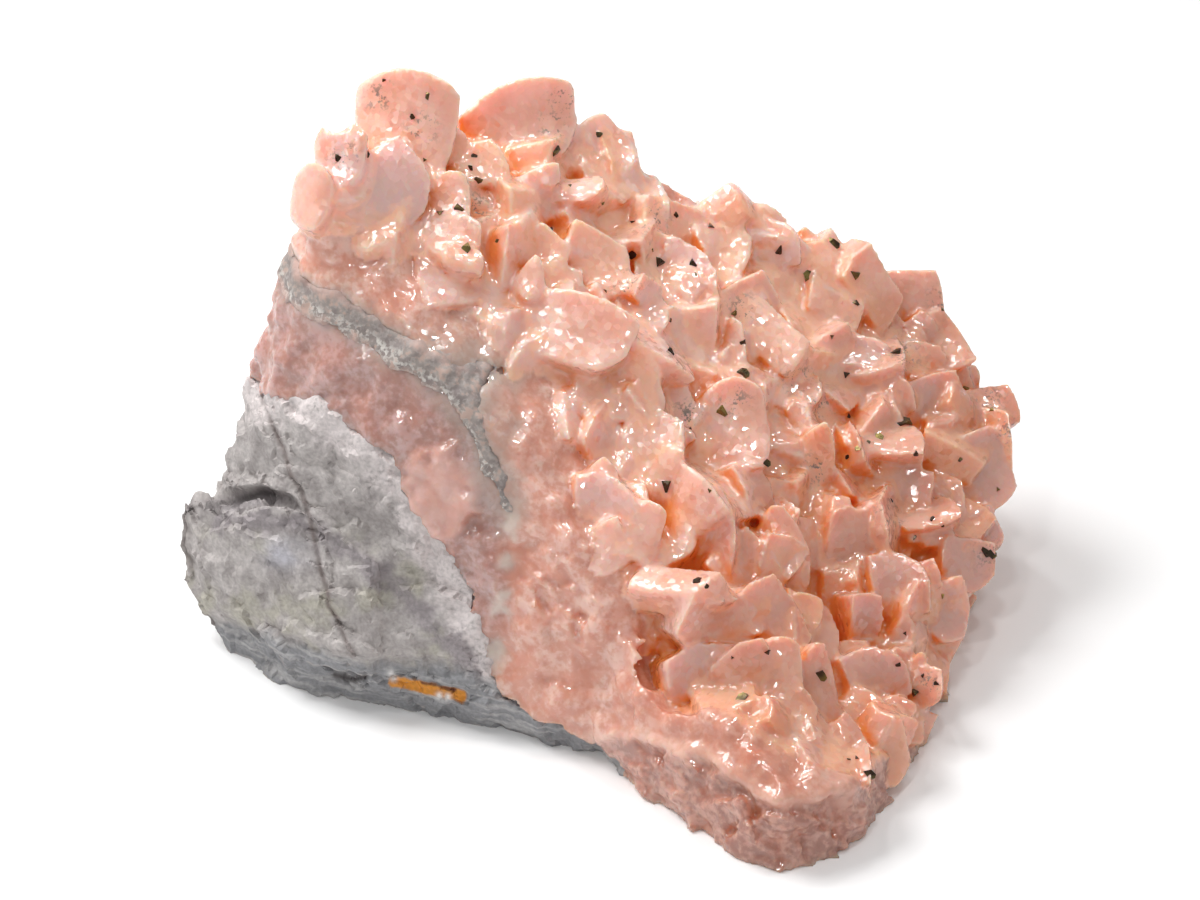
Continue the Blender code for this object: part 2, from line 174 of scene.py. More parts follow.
def lineDistance(across, up, line):  # from each sighted place to a line of (across, up) points
    best = np.full(len(across), 1e9)
    for (x0, y0), (x1, y1) in zip(line, line[1:]):
        along = np.array((x1 - x0, y1 - y0))
        share = ((across - x0) * along[0] + (up - y0) * along[1]) / (along @ along)
        share = np.clip(share, 0, 1)
        best = np.minimum(best, np.hypot(across - x0 - share * along[0], up - y0 - share * along[1]))
    return best


def lineHeight(across, line):  # height of a line of (across, up) points above each place
    return np.interp(across, [x for x, _ in line], [y for _, y in line])


def noiseField(points, size, seed, kind="soft"):  # about -1 to 1, features of that size in mm
    shift = Vector((seed * 7.1, seed * 3.7, seed * 1.3))
    values = np.empty(len(points))
    for index, point in enumerate(points / size):
        place = Vector(point) + shift
        if kind == "soft":
            values[index] = noise.noise(place)
        elif kind == "lumps":
            values[index] = noise.fractal(place, 0.9, 2.1, 3)
        elif kind == "grains":
            values[index] = 1 - 2 * noise.voronoi(place)[0][0]
        elif kind == "facets":  # flat cells, each leaning its own way
            middle = noise.voronoi(place)[1][0]
            values[index] = (place - middle).dot(noise.cell_vector(middle * 7.3)) * 2
    return values


def relief(points, look, *rows):  # sum of noises, each by its name in the values, its seed and its kind
    return sum(look[name][1] * noiseField(points, look[name][0], seed, kind) for name, seed, kind in rows)


def refine(mesh, chosen, cuts):  # splits the faces that touch a chosen point
    shell = shellOf(mesh)
    faces = [face for face in shell.faces if any(chosen[vert.index] for vert in face.verts)]
    edges = {edge for face in faces for edge in face.edges}
    bmesh.ops.subdivide_edges(shell, edges=list(edges), cuts=cuts, use_grid_fill=True)
    bmesh.ops.triangulate(shell, faces=shell.faces)
    shell.to_mesh(mesh)
    shell.free()


def smoothShade(mesh, angle):
    mesh.polygons.foreach_set("use_smooth", [True] * len(mesh.polygons))
    mesh.set_sharp_from_angle(angle=math.radians(angle))


def coat(mesh, name):
    mesh.materials.clear()
    mesh.materials.append(materials[name])


def removeCollection(collection):
    for obj in list(collection.objects):
        bpy.data.objects.remove(obj)
    bpy.data.collections.remove(collection)


# the lump before its layers part, as corner points in mm
lumpShape = {
    "body": [
        (-29, 4.8, -2), (-27.5, 1.6, -2), (-23, -1.1, -2), (-11, -4.6, -2), (0, -8.8, -2), (22, -9, -2),
        (26, 2, -2), (27, 13, -2), (17, 22, -2), (-8, 24, -2), (-22, 19, -2),
        (-29.5, 3, 4), (-22.6, -2.8, 4), (-11, -6.5, 4), (0, -10.3, 2),
        (-30, 8, 10), (-27.3, 10, 20), (-25, 11.5, 25), (-22.7, 12, 33),
        (-20.8, 8, 35.5), (-14, 17, 39), (2.5, 21.5, 33), (20, 21.5, 23), (29.5, 13.5, 13),
        (-13.5, 2.5, 29.5), (-5, -3.5, 20.5), (0, -8, 12.5),
        (-20, 22, 22), (-8, 26, 26), (18, 25, 15),
    ],
    "tip": [
        (3.7, -14.4, -2), (7.4, -18.4, -2), (10, -22, -2), (13, -23.4, -2), (17.6, -21.6, -2),
        (20.8, -17.8, -2), (24.5, -8, -2), (26, 2, -2), (0, 0, -2), (0, -8.6, -2),
        (0, -10.5, 3), (7.4, -17.4, 5), (13.2, -21.4, 7), (18.3, -19.8, 4.8), (0, -7, 11),
        (10, -9, 9), (22, -8, 3.5), (15, -14, 5.5),
    ],
    "bulge": [
        (-33.2, 7, 7.5), (-32.8, 7, 11.5), (-32.8, 6, 3.8), (-30.6, 3.2, 2.5), (-28.7, 3, -2),
        (-22.8, -3.4, 4.2), (-17.2, -5.4, 4.6), (-16.5, -3.2, 13.2), (-22.6, 0.4, 15.6), (-29.2, 3.6, 13.8),
        (-22, 10, 12), (-15, 4, 8),
    ],
    "grain": 0.38,  # mm between points
    "swells": (9.0, 1.5),  # mm apart, mm tall
    "chips": (3.0, 0.8),
    "hollow": (6.7, -15.8, -0.5),  # across, up, out of the slope
    "hollowRadii": (4.4, 3.6, 4.0),
}


def hull(name, corners):
    shell = bmesh.new()
    for corner in corners:
        shell.verts.new(Vector(corner) * mm)
    made = bmesh.ops.convex_hull(shell, input=shell.verts)
    bmesh.ops.delete(shell, geom=made["geom_interior"], context="VERTS")
    bmesh.ops.recalc_face_normals(shell, faces=shell.faces)
    return fromShell(name, shell)


def addClouds(obj, name, spacing, height):
    texture = bpy.data.textures.new(name, "CLOUDS")
    texture.noise_scale = spacing * mm
    texture.noise_depth = 1
    modifier = obj.modifiers.new(name, "DISPLACE")
    modifier.texture = texture
    modifier.texture_coords = "LOCAL"
    modifier.mid_level = 0.5
    modifier.strength = height * mm


def hollowCutter():
    shell = bmesh.new()
    bmesh.ops.create_icosphere(shell, subdivisions=4, radius=mm)
    stretch = Matrix.Diagonal((*lumpShape["hollowRadii"], 1))
    place = Matrix.Translation(onSlope(*lumpShape["hollow"]) * mm)
    tilt = druse["out"].to_track_quat("Z", "Y").to_matrix().to_4x4()
    bmesh.ops.transform(shell, matrix=place @ tilt @ stretch, verts=shell.verts)
    return fromShell("hollow", shell)


def makeLump():
    lump = hull("lump", lumpShape["body"])
    addBoolean(lump, "UNION", hull("tip", lumpShape["tip"]), "EXACT")
    addBoolean(lump, "UNION", hull("bulge", lumpShape["bulge"]), "EXACT")
    addRemesh(lump, lumpShape["grain"])
    addClouds(lump, "swells", *lumpShape["swells"])
    addClouds(lump, "chips", *lumpShape["chips"])
    settle(lump)
    addBoolean(lump, "DIFFERENCE", hollowCutter())
    settle(lump)
    return lump


# layers, drawn on an upright section along the broken front: mm along it, then mm up
section = {
    "along": Vector((0.83, -0.56, 0)).normalized(),
    "into": Vector((0.56, 0.83, 0)).normalized(),
    "rockTop": [
        (-45, 15), (-27.4, 21), (-18.6, 23.2), (-12.3, 20.3), (-7.5, 14.2), (-4.6, 9.3), (-2.5, 4.3),
        (2, 2.6), (8, 1), (12, -3), (-45, -3),
    ],
    "seam": [  # mm along, mm up, half thickness
        (-40, 33, 1.0), (-32, 31.5, 1.1), (-24, 30, 1.2), (-19.4, 30, 1.1), (-15.8, 28.7, 1.0),
        (-11.3, 27.3, 0.9), (-8.6, 25.7, 0.8), (-6.5, 22.8, 0.6), (-4.7, 19.9, 0.4), (-3.8, 17.9, 0.15),
    ],
    "seamBack": 3.0,
    "overlap": 0.2,  # by which the crust reaches over its neighbours, so no gap shows
    "ragged": 0.28,  # mm by which the edges of the layers wander
    "step": 0.8,
}


def raggedLine(line, seed, wander):
    chance = random.Random(seed)
    made = []
    for index, start in enumerate(line):
        end = line[(index + 1) % len(line)]
        length = math.dist(start[:2], end[:2])
        steps = max(1, round(length / section["step"]))
        along = Vector(end[:2]) - Vector(start[:2])
        side = Vector((-along.y, along.x)).normalized()
        for step in range(steps):
            place = Vector(start[:2]) + along * step / steps + side * chance.uniform(-wander, wander)
            made.append((place.x, place.y))
    return made


def offsetLine(line, gap):
    made = []
    for index, (a, z) in enumerate(line):
        before = Vector(line[index - 1])
        after = Vector(line[(index + 1) % len(line)])
        along = (after - before).normalized()
        made.append((a - along.y * gap, z + along.x * gap))
    return made


def sectionSlab(name, outline, near, far):
    shell = bmesh.new()
    start = section["into"] * near
    corners = [shell.verts.new((start + section["along"] * a + Vector((0, 0, z))) * mm) for a, z in outline]
    face = shell.faces.new(corners)
    grown = bmesh.ops.extrude_face_region(shell, geom=[face])
    moved = [item for item in grown["geom"] if isinstance(item, bmesh.types.BMVert)]
    bmesh.ops.translate(shell, verts=moved, vec=section["into"] * (far - near) * mm)
    bmesh.ops.triangulate(shell, faces=shell.faces)
    bmesh.ops.recalc_face_normals(shell, faces=shell.faces)
    return fromShell(name, shell)


def seamOutline(gap, wander):
    chance = random.Random(8)
    line = section["seam"]
    upper, lower = [], []
    length = [0.0]
    for before, after in zip(line, line[1:]):
        length.append(length[-1] + math.dist(before[:2], after[:2]))
    count = int(length[-1] / section["step"])
    places = []
    for index in range(count + 1):
        at = length[-1] * index / count
        places.append([float(np.interp(at, length, [row[part] for row in line])) for part in range(3)])
    for index, (a, z, half) in enumerate(places):
        before = Vector(places[max(index - 1, 0)][:2])
        after = Vector(places[min(index + 1, count)][:2])
        along = (after - before).normalized()
        side = Vector((-along.y, along.x))
        up = side * (half + gap + chance.uniform(-wander, wander))
        down = side * (half + gap + chance.uniform(-wander, wander))
        upper.append((a + up.x, z + up.y))
        lower.append((a - down.x, z - down.y))
    return upper + lower[::-1]


def box(name, low, high):
    shell = bmesh.new()
    low, high = Vector(low) * mm, Vector(high) * mm
    place = Matrix.Translation((low + high) / 2) @ Matrix.Diagonal((*(high - low), 1))
    bmesh.ops.create_cube(shell, size=1, matrix=place)
    return fromShell(name, shell)


def copyOf(obj, name):
    return newObject(name, obj.data.copy(), helpers)


bpy.context.scene.collection.children.link(helpers)
lump = makeLump()
ground = box("ground", (-60, -60, -30), (60, 60, 0))
print("lump", len(lump.data.vertices), "points")

rockLine = raggedLine(section["rockTop"], 3, section["ragged"])
rockZone = sectionSlab("rockZone", rockLine, -60, 60)
rockRoom = sectionSlab("rockRoom", offsetLine(rockLine, -section["overlap"]), -60, 60)
seamZone = sectionSlab("seamZone", seamOutline(0, section["ragged"]), -60, section["seamBack"])
seamRoom = sectionSlab("seamRoom", seamOutline(-section["overlap"] / 2, 0.1), -60, section["seamBack"] - 0.2)

# crystals
crystalLook = {
    "saddle": 0.15,  # of the height, by which two corners curl up and two down
    "root": 0.85,  # of the height, down into the crust
    "foot": 0.72,  # size of the root's end
    "plate": (0.20, 0.42),  # thickness of the plate-like head, of the height
    "undercut": (0.90, 0.99),
    "blockShare": (0.15, 0.6),  # of the crystals at the left and at the right, grown as blocks
    "arched": (0, 1, 2, 4, 5, 10, 12, 16, 24, 26, 33),  # large crystals with a long curved rim
    "blockSaddle": (0.10, 0.20),
    "blockTilt": 26.0,
    "blockSize": (0.74, 0.92),
    "blockFlat": (0.6, 0.85),
    "blockBow": (0.02, 0.16),
    "blockSquash": (0.78, 0.92),  # along the body diagonal
    "cornerCut": (1.25, 1.7),  # where one corner is cut back, of 2
    "notch": 0.10,  # how far steps cut into the rim
    "bow": (0.45, 0.92),  # 1 is a straight side, less bows it outwards
    "archBow": (0.02, 0.16),
    "sideAway": (0.64, 0.80),  # of each side from the middle, of half the width
    "archAway": (0.86, 0.96),
    "archSideAway": (0.66, 0.82),
    "extraAway": (0.74, 0.90),
    "overgrowths": (0, 2),
    "overgrowthSize": (0.34, 0.56),
    "room": 0.24,  # of a large crystal's size, kept clear of smaller ones
    "shapes": 18,
    "smallShapes": 10,
    "bedSpacing": 2.5,  # mm between the small crystals of the bed
    "bedSize": (4.6, 8.0),
    "bedWidth": (0.36, 0.62),  # of their size, to each side
    "bedDensity": 4.0,  # most points in a square millimetre, before the spacing thins them
    "bedTilt": 34.0,
    "bedSeed": 4,
}

# mm across, mm up, mm out of the slope, height, width, turn to the right, rise of the face, roll
largeCrystals = [
    (-14.3, 23.9, 0.5, 9.8, 11.4, -12, 28, -16),
    (-19.3, 21.5, 0.4, 5.4, 5.6, -30, 34, 20),
    (-5.4, 24.1, 0.5, 8.6, 12.2, 8, 26, 10),
    (-16.2, 19.6, -1.0, 6.6, 8.0, -14, 44, 50),
    (-21.5, 18.6, -0.9, 6.8, 5.6, -42, 26, 10),
    (0.3, 22.0, 0.4, 7.0, 7.8, 18, 42, 40),
    (-1.6, 19.2, 0.8, 3.6, 5.6, -5, 62, 5),
    (-4.8, 18.6, 0.2, 5.4, 5.2, 12, 24, -22),
    (-0.4, 13.9, 0.6, 7.6, 7.2, 6, 32, 25),
    (-5.0, 12.7, 0.8, 4.2, 3.0, -12, 44, 0),
    (-10.7, 15.6, 0.4, 4.6, 6.0, -8, 58, -10),
    (3.2, 18.5, 0.0, 6.4, 6.0, 32, 46, 20),
    (-2.2, 8.8, 1.0, 7.4, 14.2, -10, 44, -8),
    (2.6, 5.2, 0.6, 7.4, 5.0, -28, 24, 6),
    (6.0, 8.2, 0.2, 6.0, 3.8, 28, 34, 15),
    (5.6, 3.2, -0.2, 5.2, 4.0, 10, 40, -20),
    (10.2, 1.5, 1.0, 9.8, 7.8, -6, 43, 18),
    (15.7, -0.7, 0.4, 8.4, 4.6, -22, 14, -12),
    (20.8, 0.5, 0.6, 5.0, 7.6, 6, 52, -8),
    (8.3, -5.5, 0.4, 8.6, 4.8, -26, 28, 6),
    (6.1, -9.8, 1.0, 3.6, 7.2, -8, 78, -4),
    (13.5, -6.9, 0.8, 6.8, 5.4, -10, 45, 22),
    (18.6, -5.9, 0.2, 5.0, 4.8, 18, 36, -18),
    (24.1, -5.0, 0.4, 4.0, 5.8, 10, 56, 12),
    (28.2, -1.6, 0.4, 8.6, 7.8, 20, 34, 20),
    (28.8, 3.1, 0.0, 4.2, 5.2, 34, 52, -12),
    (25.2, 7.7, 0.4, 6.4, 6.6, -4, 48, 32),
    (22.4, 11.7, 0.2, 5.2, 7.6, 8, 38, 0),
    (12.3, 15.6, 0.4, 4.8, 5.6, -10, 46, 20),
    (18.4, 7.4, 0.6, 3.8, 7.8, 2, 62, -6),
    (12.4, 8.6, 0.4, 4.6, 9.0, -6, 46, -36),
    (22.2, -9.5, 0.6, 5.6, 4.8, -12, 45, 18),
    (25.8, -12.2, 0.4, 5.8, 5.0, 22, 34, -10),
    (13.1, -17.6, 1.8, 8.4, 6.4, -12, 42, 8),
    (16.2, -17.7, 1.4, 8.2, 5.2, 26, 28, -6),
    (7.6, -16.8, -2.6, 6.0, 6.0, -10, 36, 30),
    (10.0, -12.3, 0.2, 4.8, 5.8, 4, 52, 10),
    (15.1, -11.9, 0.6, 3.8, 4.0, -14, 26, 38),
    (20.2, -16.3, 0.2, 5.4, 5.2, 20, 44, 14),
    (23.8, -17.4, 0.4, 4.4, 3.6, 6, 30, 0),
    (21.5, -19.4, 0.6, 3.2, 5.2, -6, 50, 22),
    (21.6, -22.6, 1.4, 6.0, 4.4, 10, 28, -14),
    (18.2, -23.4, 1.6, 5.8, 4.4, -20, 38, 10),
    (-3.0, 22.0, -1.6, 7.0, 6.0, 10, 36, 10),
    (19.8, 9.6, -0.8, 5.6, 5.6, 12, 38, 24),
    (26.6, 4.4, -0.8, 5.6, 5.4, 24, 40, -14),
    (5.3, 0.8, -0.4, 3.6, 3.4, -12, 32, 24),
    (19.5, -12.2, -0.2, 4.4, 3.2, 12, 30, 0),
    (16.4, -14.1, -0.4, 3.2, 3.4, -8, 56, 14),
    (22.7, -13.9, 0.0, 4.0, 3.0, 20, 26, -8),
    (28.6, -6.0, 0.0, 4.8, 4.6, 36, 34, 16),
    (27.1, -8.2, -0.2, 4.2, 5.4, 18, 44, -10),
    (17.4, 11.2, 0.2, 4.8, 6.0, 14, 46, -24),
    (8.8, 15.6, -0.2, 5.0, 5.4, 20, 36, 12),
    (6.8, 13.0, 0.2, 5.2, 5.6, -14, 42, -16),
    (0.6, -3.8, -1.4, 5.8, 5.0, -16, 30, 14),
    (0.4, -7.2, -1.8, 5.4, 4.6, -20, 30, -12),
    (-8.9, 21.5, 0.2, 4.6, 6.2, -10, 56, -18),
    (-11.2, 18.6, 0.2, 4.8, 5.4, -24, 38, 14),
    (20.4, 4.2, 0.0, 4.4, 6.4, -10, 42, 26),
    (14.5, 4.2, -0.2, 5.0, 5.0, 20, 44, -28),
    (24.5, 3.8, 0.0, 5.0, 5.8, 22, 36, 8),
    (3.0, -6.0, -0.2, 5.4, 5.0, -4, 34, -24),
    (10.6, -20.2, -0.8, 4.8, 5.2, -14, 40, 18),
    (14.2, -21.6, -0.2, 4.6, 5.0, 4, 36, -14),
    (-4.0, 14.8, 0.0, 4.6, 4.8, -16, 34, 20),
    (3.0, 9.7, 0.0, 5.2, 5.4, 24, 40, -30),
]

hollow = (5.4, -15.4, 3.4, 1.7)  # mm across, up, radius and depth of a bare hollow below the ledge
druseEdge = [  # outline of the slope of crystals, as sighted
    (-20.5, 18.5), (-18.5, 22), (-14, 24), (-5, 24), (2, 20.5), (8, 15.5), (14, 15.5), (22, 12),
    (27, 6), (30, 2), (30, -4), (28.5, -10), (25, -15.5), (23, -21), (19, -24.5), (13, -22.5),
    (4.4, -16), (2.2, -8), (0.4, 0), (-4.6, 6.4), (-10.4, 12.2), (-17.5, 16.5),
]
fillLook = {
    "spacing": 3.8, "size": (4.6, 7.0), "out": (-1.6, 0.1), "turn": (-45, 60), "rise": (15, 75),
    "seed": 17,
}


def facing(turn, rise, roll):  # Z is a face's outward direction, X its width and Y its height
    turn, rise, roll = (math.radians(angle) for angle in (turn, rise, roll))
    out = Vector((math.sin(turn) * math.cos(rise), -math.cos(turn) * math.cos(rise), math.sin(rise)))
    right = Vector((math.cos(turn), math.sin(turn), 0))
    up = out.cross(right)
    return Matrix((right, up, out)).transposed() @ Matrix.Rotation(roll, 3, "Z")


def maskedShell():
    shell = bmesh.new()
    return shell, [shell.verts.layers.float.new(name) for name in ("rim", "root", "tint")]


def addVert(shell, layers, place, values):
    vert = shell.verts.new(place)
    for layer, value in zip(layers, values):
        vert[layer] = value
    return vert


def outlineSides(chance, arched):  # direction, distance and bow of each side of a plate's outline
    def side(degrees, spread, away, bow=crystalLook["bow"]):
        turned = math.radians(degrees + chance.gauss(0, spread))
        return turned, chance.uniform(*away), chance.uniform(*bow)

    look = crystalLook
    sides = [side(45 + 90 * quarter, 9, look["sideAway"]) for quarter in range(4)]
    if arched:  # one long curved rim over three nearly straight sides
        sides = [side(90, 12, look["archAway"], look["archBow"])]
        sides += [side(degrees, 10, look["archSideAway"]) for degrees in (200, 270, 340)]
    for _ in range(chance.choice((0, 1, 1, 2))):
        sides.append(side(90 * chance.randrange(4), 14, look["extraAway"]))
    return sides


def crystalShape(name, chance, segments, collection, arched=False):
    # a saddle-shaped plate with a stepped rim on a tapering root: half width and half height 1, depth 1
    shell, layers = maskedShell()
    tint = chance.random()
    sides = outlineSides(chance, arched)
    steps = sorted(chance.uniform(0, 2 * math.pi) for _ in range(chance.randint(1, 4)))
    cuts = [chance.uniform(0, crystalLook["notch"]) for _ in steps] + [0]

    def outlineAt(angle):
        radii = [away / max(math.cos(angle - toSide), 0.05) ** power for toSide, away, power in sides]
        radius = min(radii)
        return min(radius, 1.12), radii.index(radius)

    fine = [2 * math.pi * index / 720 for index in range(720)]
    on = [outlineAt(angle)[1] for angle in fine]
    turns = [angle for index, angle in enumerate(fine) if on[index] != on[index - 1]]
    angles = []
    for index, turn in enumerate(turns):
        gap = (turns[(index + 1) % len(turns)] - turn) % (2 * math.pi)
        parts = max(1, round(gap / (2 * math.pi) * segments))
        angles += [turn + gap * part / parts for part in range(parts)]
    segments = len(angles)
    plate = chance.uniform(*crystalLook["plate"])
    undercut = chance.uniform(*crystalLook["undercut"])
    rings = [  # size, depth, rim, root
        (0.35, 0, 0, 0), (0.68, 0, 0, 0), (0.9, 0, 0.3, 0), (0.975, 0.006, 1, 0), (1.0, 0.024, 1, 0),
        (1.0, plate * 0.5, 0.4, 0.1), (0.97, plate * 0.56, 0.2, 0.2), (0.97, plate, 0.2, 0.35),
        (undercut, plate + 0.05, 0, 0.6), (crystalLook["foot"], crystalLook["root"], 0, 1),
    ]
    if segments < 20:
        del rings[6], rings[5], rings[1], rings[0]

    def vertAt(size, depth, rim, root, angle):
        turned = angle % (2 * math.pi)
        radius = outlineAt(angle)[0] * (1 - cuts[sum(turned > step for step in steps) % len(cuts)])
        u, v = math.cos(angle) * radius * size, math.sin(angle) * radius * size
        curl = crystalLook["saddle"] * (v * v - u * u) * (1 - root)
        return addVert(shell, layers, (u, v, curl - depth), (rim, root, tint))

    loops = [[vertAt(*ring, angle) for angle in angles] for ring in rings]
    middle = addVert(shell, layers, (0, 0, 0), (0, 0, tint))
    end = addVert(shell, layers, (0, 0, -crystalLook["root"]), (0, 1, 0))
    for index in range(segments):
        after = (index + 1) % segments
        shell.faces.new((middle, loops[0][index], loops[0][after]))
        shell.faces.new((end, loops[-1][after], loops[-1][index]))
        for near, far in zip(loops, loops[1:]):
            shell.faces.new((near[index], far[index], far[after], near[after]))
    bmesh.ops.triangulate(shell, faces=shell.faces)
    return fromShell(name, shell, collection)


def blockShape(name, chance, steps, collection):
    # a rhombohedron with saddle faces, leaning its own way: half width 1, its top near the origin
    shell, layers = maskedShell()
    tint = chance.random()
    saddle = chance.uniform(*crystalLook["blockSaddle"])
    size = chance.uniform(*crystalLook["blockSize"])
    flat = chance.uniform(*crystalLook["blockFlat"])
    tilt = math.radians(crystalLook["blockTilt"])
    axis = Vector((chance.gauss(0, 1), chance.gauss(0, 1), 0.3)).normalized()
    turn = Matrix.Rotation(chance.uniform(-tilt, tilt), 3, axis)
    squash = chance.uniform(*crystalLook["blockSquash"])
    body = Vector((1, 1, 1)).normalized()
    cutSide, cutSign = chance.choice((0, 1)), chance.choice((-1, 1))  # a growth step along one side
    cutStart, cutDepth = chance.uniform(0.35, 0.8), chance.uniform(0.05, 0.14)
    bow = chance.uniform(*crystalLook["blockBow"])
    corner = Vector((chance.choice((-1, 1)), chance.choice((-1, 1)), 0))
    cornerAt = chance.uniform(*crystalLook["cornerCut"])
    made = {}

    def vertAt(place):
        if place in made:
            return made[place]
        x, y, z = place
        moved = Vector((
            x * (1 + saddle * (y * y - z * z) + (bow + saddle) * (1 - y * y)),
            y * (1 + saddle * (z * z - x * x) + (bow - saddle) * (1 - x * x)),
            z * (1 + saddle * (x * x - y * y))))
        moved -= corner * max(0, moved.dot(corner) - cornerAt) * 0.42
        if place[cutSide] * cutSign > 0.99 and z > cutStart:
            moved[cutSide] -= cutSign * cutDepth
        moved += body * (squash - 1) * moved.dot(body)
        moved.z *= flat
        moved = turn @ moved * size
        moved.z -= flat * size * 0.7
        onEdge = sum(abs(value) > 0.99 for value in place) > 1
        rim = 1.0 if onEdge and z > -0.5 else 0.0
        made[place] = addVert(shell, layers, moved, (rim, (1 - z) / 2, tint))
        return made[place]

    for side in range(3):
        for sign in (-1, 1):
            for u0, u1 in zip(steps, steps[1:]):
                for v0, v1 in zip(steps, steps[1:]):
                    corners = []
                    for u, v in ((u0, v0), (u1, v0), (u1, v1), (u0, v1)):
                        place = [u, v]
                        place.insert(side, sign)
                        corners.append(vertAt(tuple(place)))
                    shell.faces.new(corners)
    bmesh.ops.triangulate(shell, faces=shell.faces)
    bmesh.ops.recalc_face_normals(shell, faces=shell.faces)
    return fromShell(name, shell, collection)


def makeShapes(kind, first, count, chance, segments, collection):
    # plates have even numbers, blocks odd ones
    large = segments > 20
    steps = (-1, -0.93, -0.45, 0, 0.45, 0.93, 1) if large else (-1, -0.9, 0, 0.9, 1)
    for number in range(first, first + count):
        name = f"{kind}{number:02}"
        if number % 2 == 0:
            crystalShape(name, chance, segments, collection, large and number < 6)
        else:
            blockShape(name, chance, steps, collection)


def pickShape(across, first, count, chance):
    low, high = crystalLook["blockShare"]
    share = low + (high - low) * min(max((across + 15) / 25, 0), 1)
    return first + chance.randrange(count // 2) * 2 + (chance.random() < share)


def inside(across, up, outline):
    found = False
    for index, (x, y) in enumerate(outline):
        lastX, lastY = outline[index - 1]
        if (y > up) != (lastY > up) and across < (lastX - x) * (up - y) / (lastY - y) + x:
            found = not found
    return found


def fillCrystals():  # smaller ones on a jittered grid between the large ones
    chance = random.Random(fillLook["seed"])
    spacing = fillLook["spacing"]
    rows = []
    steps = int(70 / spacing)
    for row in range(steps):
        for column in range(steps):
            across = -35 + (column + row % 2 / 2 + chance.uniform(-0.3, 0.3)) * spacing
            up = -30 + (row + chance.uniform(-0.3, 0.3)) * spacing * 0.9
            size = chance.uniform(*fillLook["size"])
            shape = chance.uniform(0.75, 1.1)
            out = chance.uniform(*fillLook["out"])
            turn = chance.uniform(*fillLook["turn"])
            rise = chance.uniform(*fillLook["rise"])
            roll = chance.uniform(-45, 45)
            near = min(math.dist((across, up), large[:2]) / (large[3] + large[4]) for large in largeCrystals)
            border = lineDistance(np.array([across]), np.array([up]), druseEdge[-6:])[0]
            out -= 1.6 * max(0, 1 - border / 4)  # sunk where the crystals pass into the massive crust
            bare = math.dist((across, up), hollow[:2]) < hollow[2]
            if near > crystalLook["room"] * 0.5 and inside(across, up, druseEdge) and not bare:
                rows.append((across, up, out, size, size * shape, turn, rise, roll))
    return rows


def placing(place, axes, height, width):  # the matrix that a shape is grown with
    lean = (druse["out"] + axes.col[2]).normalized()
    made = Matrix.Identity(4)
    for row in range(3):
        wide, tall = axes.col[0][row] * width / 2, axes.col[1][row] * height / 2
        made[row] = (wide * mm, tall * mm, lean[row] * height * mm, place[row] * mm)
    return made


def overgrowths(place, height, width, turn, rise, roll, chance):  # smaller crystals on a large one's rim
    axes = facing(turn, rise, roll)
    made = []
    for _ in range(chance.randint(*crystalLook["overgrowths"]) if height < 8.9 else 0):
        angle = chance.uniform(0, 2 * math.pi)
        reach = chance.uniform(0.60, 0.84)
        size = chance.uniform(*crystalLook["overgrowthSize"])
        u, v = math.cos(angle) * reach, math.sin(angle) * reach
        out = crystalLook["saddle"] * height * (v * v - u * u) + chance.uniform(-0.5, 0.05)
        middle = place + axes @ Vector((u * width / 2, v * height / 2, out))
        tilted = facing(turn + chance.gauss(0, 6), rise + chance.gauss(0, 6), roll + chance.gauss(0, 9))
        made.append((middle, tilted, height * size, width * size * chance.uniform(0.8, 1.3)))
    return made


def crystalPoints():
    chance = random.Random(5)
    matrices, shapes = [], []
    for index, (across, up, out, height, width, turn, rise, roll) in enumerate(largeCrystals):
        place = onSlope(across, up, out)
        matrices.append(placing(place, facing(turn, rise, roll), height, width))
        if index in crystalLook["arched"]:
            shapes.append(chance.choice((0, 2, 4)))
        else:
            shapes.append(pickShape(across, 0, crystalLook["shapes"], chance))
        for middle, axes, high, wide in overgrowths(place, height, width, turn, rise, roll, chance):
            matrices.append(placing(middle, axes, high, wide))
            shapes.append(pickShape(across, crystalLook["shapes"], crystalLook["smallShapes"], chance))
    for across, up, out, height, width, turn, rise, roll in fillCrystals():
        matrices.append(placing(onSlope(across, up, out), facing(turn, rise, roll), height, width))
        shapes.append(pickShape(across, crystalLook["shapes"], crystalLook["smallShapes"], chance))
    return growPoints("crystalPoints", matrices, shapes)


def growPoints(name, matrices, shapes):  # one point for each shape, with its matrix and its number
    mesh = bpy.data.meshes.new(name)
    mesh.vertices.add(len(matrices))
    mesh.attributes.new("grow", "FLOAT4X4", "POINT")
    mesh.attributes.new("shape", "INT", "POINT")
    for index, matrix in enumerate(matrices):
        mesh.vertices[index].co = matrix.translation
        mesh.attributes["grow"].data[index].value = matrix
        mesh.attributes["shape"].data[index].value = shapes[index]
    return mesh


def crystalShapes():
    collection = bpy.data.collections.new("crystalShapes")
    smallOnes = bpy.data.collections.new("smallCrystalShapes")
    chance = random.Random(11)
    makeShapes("shape", 0, crystalLook["shapes"], chance, 26, collection)
    makeShapes("shape", crystalLook["shapes"], crystalLook["smallShapes"], chance, 13, collection)
    makeShapes("small", 0, crystalLook["smallShapes"], chance, 13, smallOnes)
    return collection, smallOnes


def socket(tree, name, kind, way="INPUT", value=None):
    made = tree.interface.new_socket(name, in_out=way, socket_type="NodeSocket" + kind)
    if value is not None:
        made.default_value = value
    return made


def addNode(tree, kind, values=None, **settings):
    made = tree.nodes.new(kind)
    for name, value in settings.items():
        setattr(made, name, value)
    for name, value in (values or {}).items():
        if isinstance(value, bpy.types.NodeSocket):
            tree.links.new(value, made.inputs[name])
        else:
            made.inputs[name].default_value = value
    return made


def nodeValue(tree, kind, values=None, output=0, **settings):
    return addNode(tree, kind, values, **settings).outputs[output]


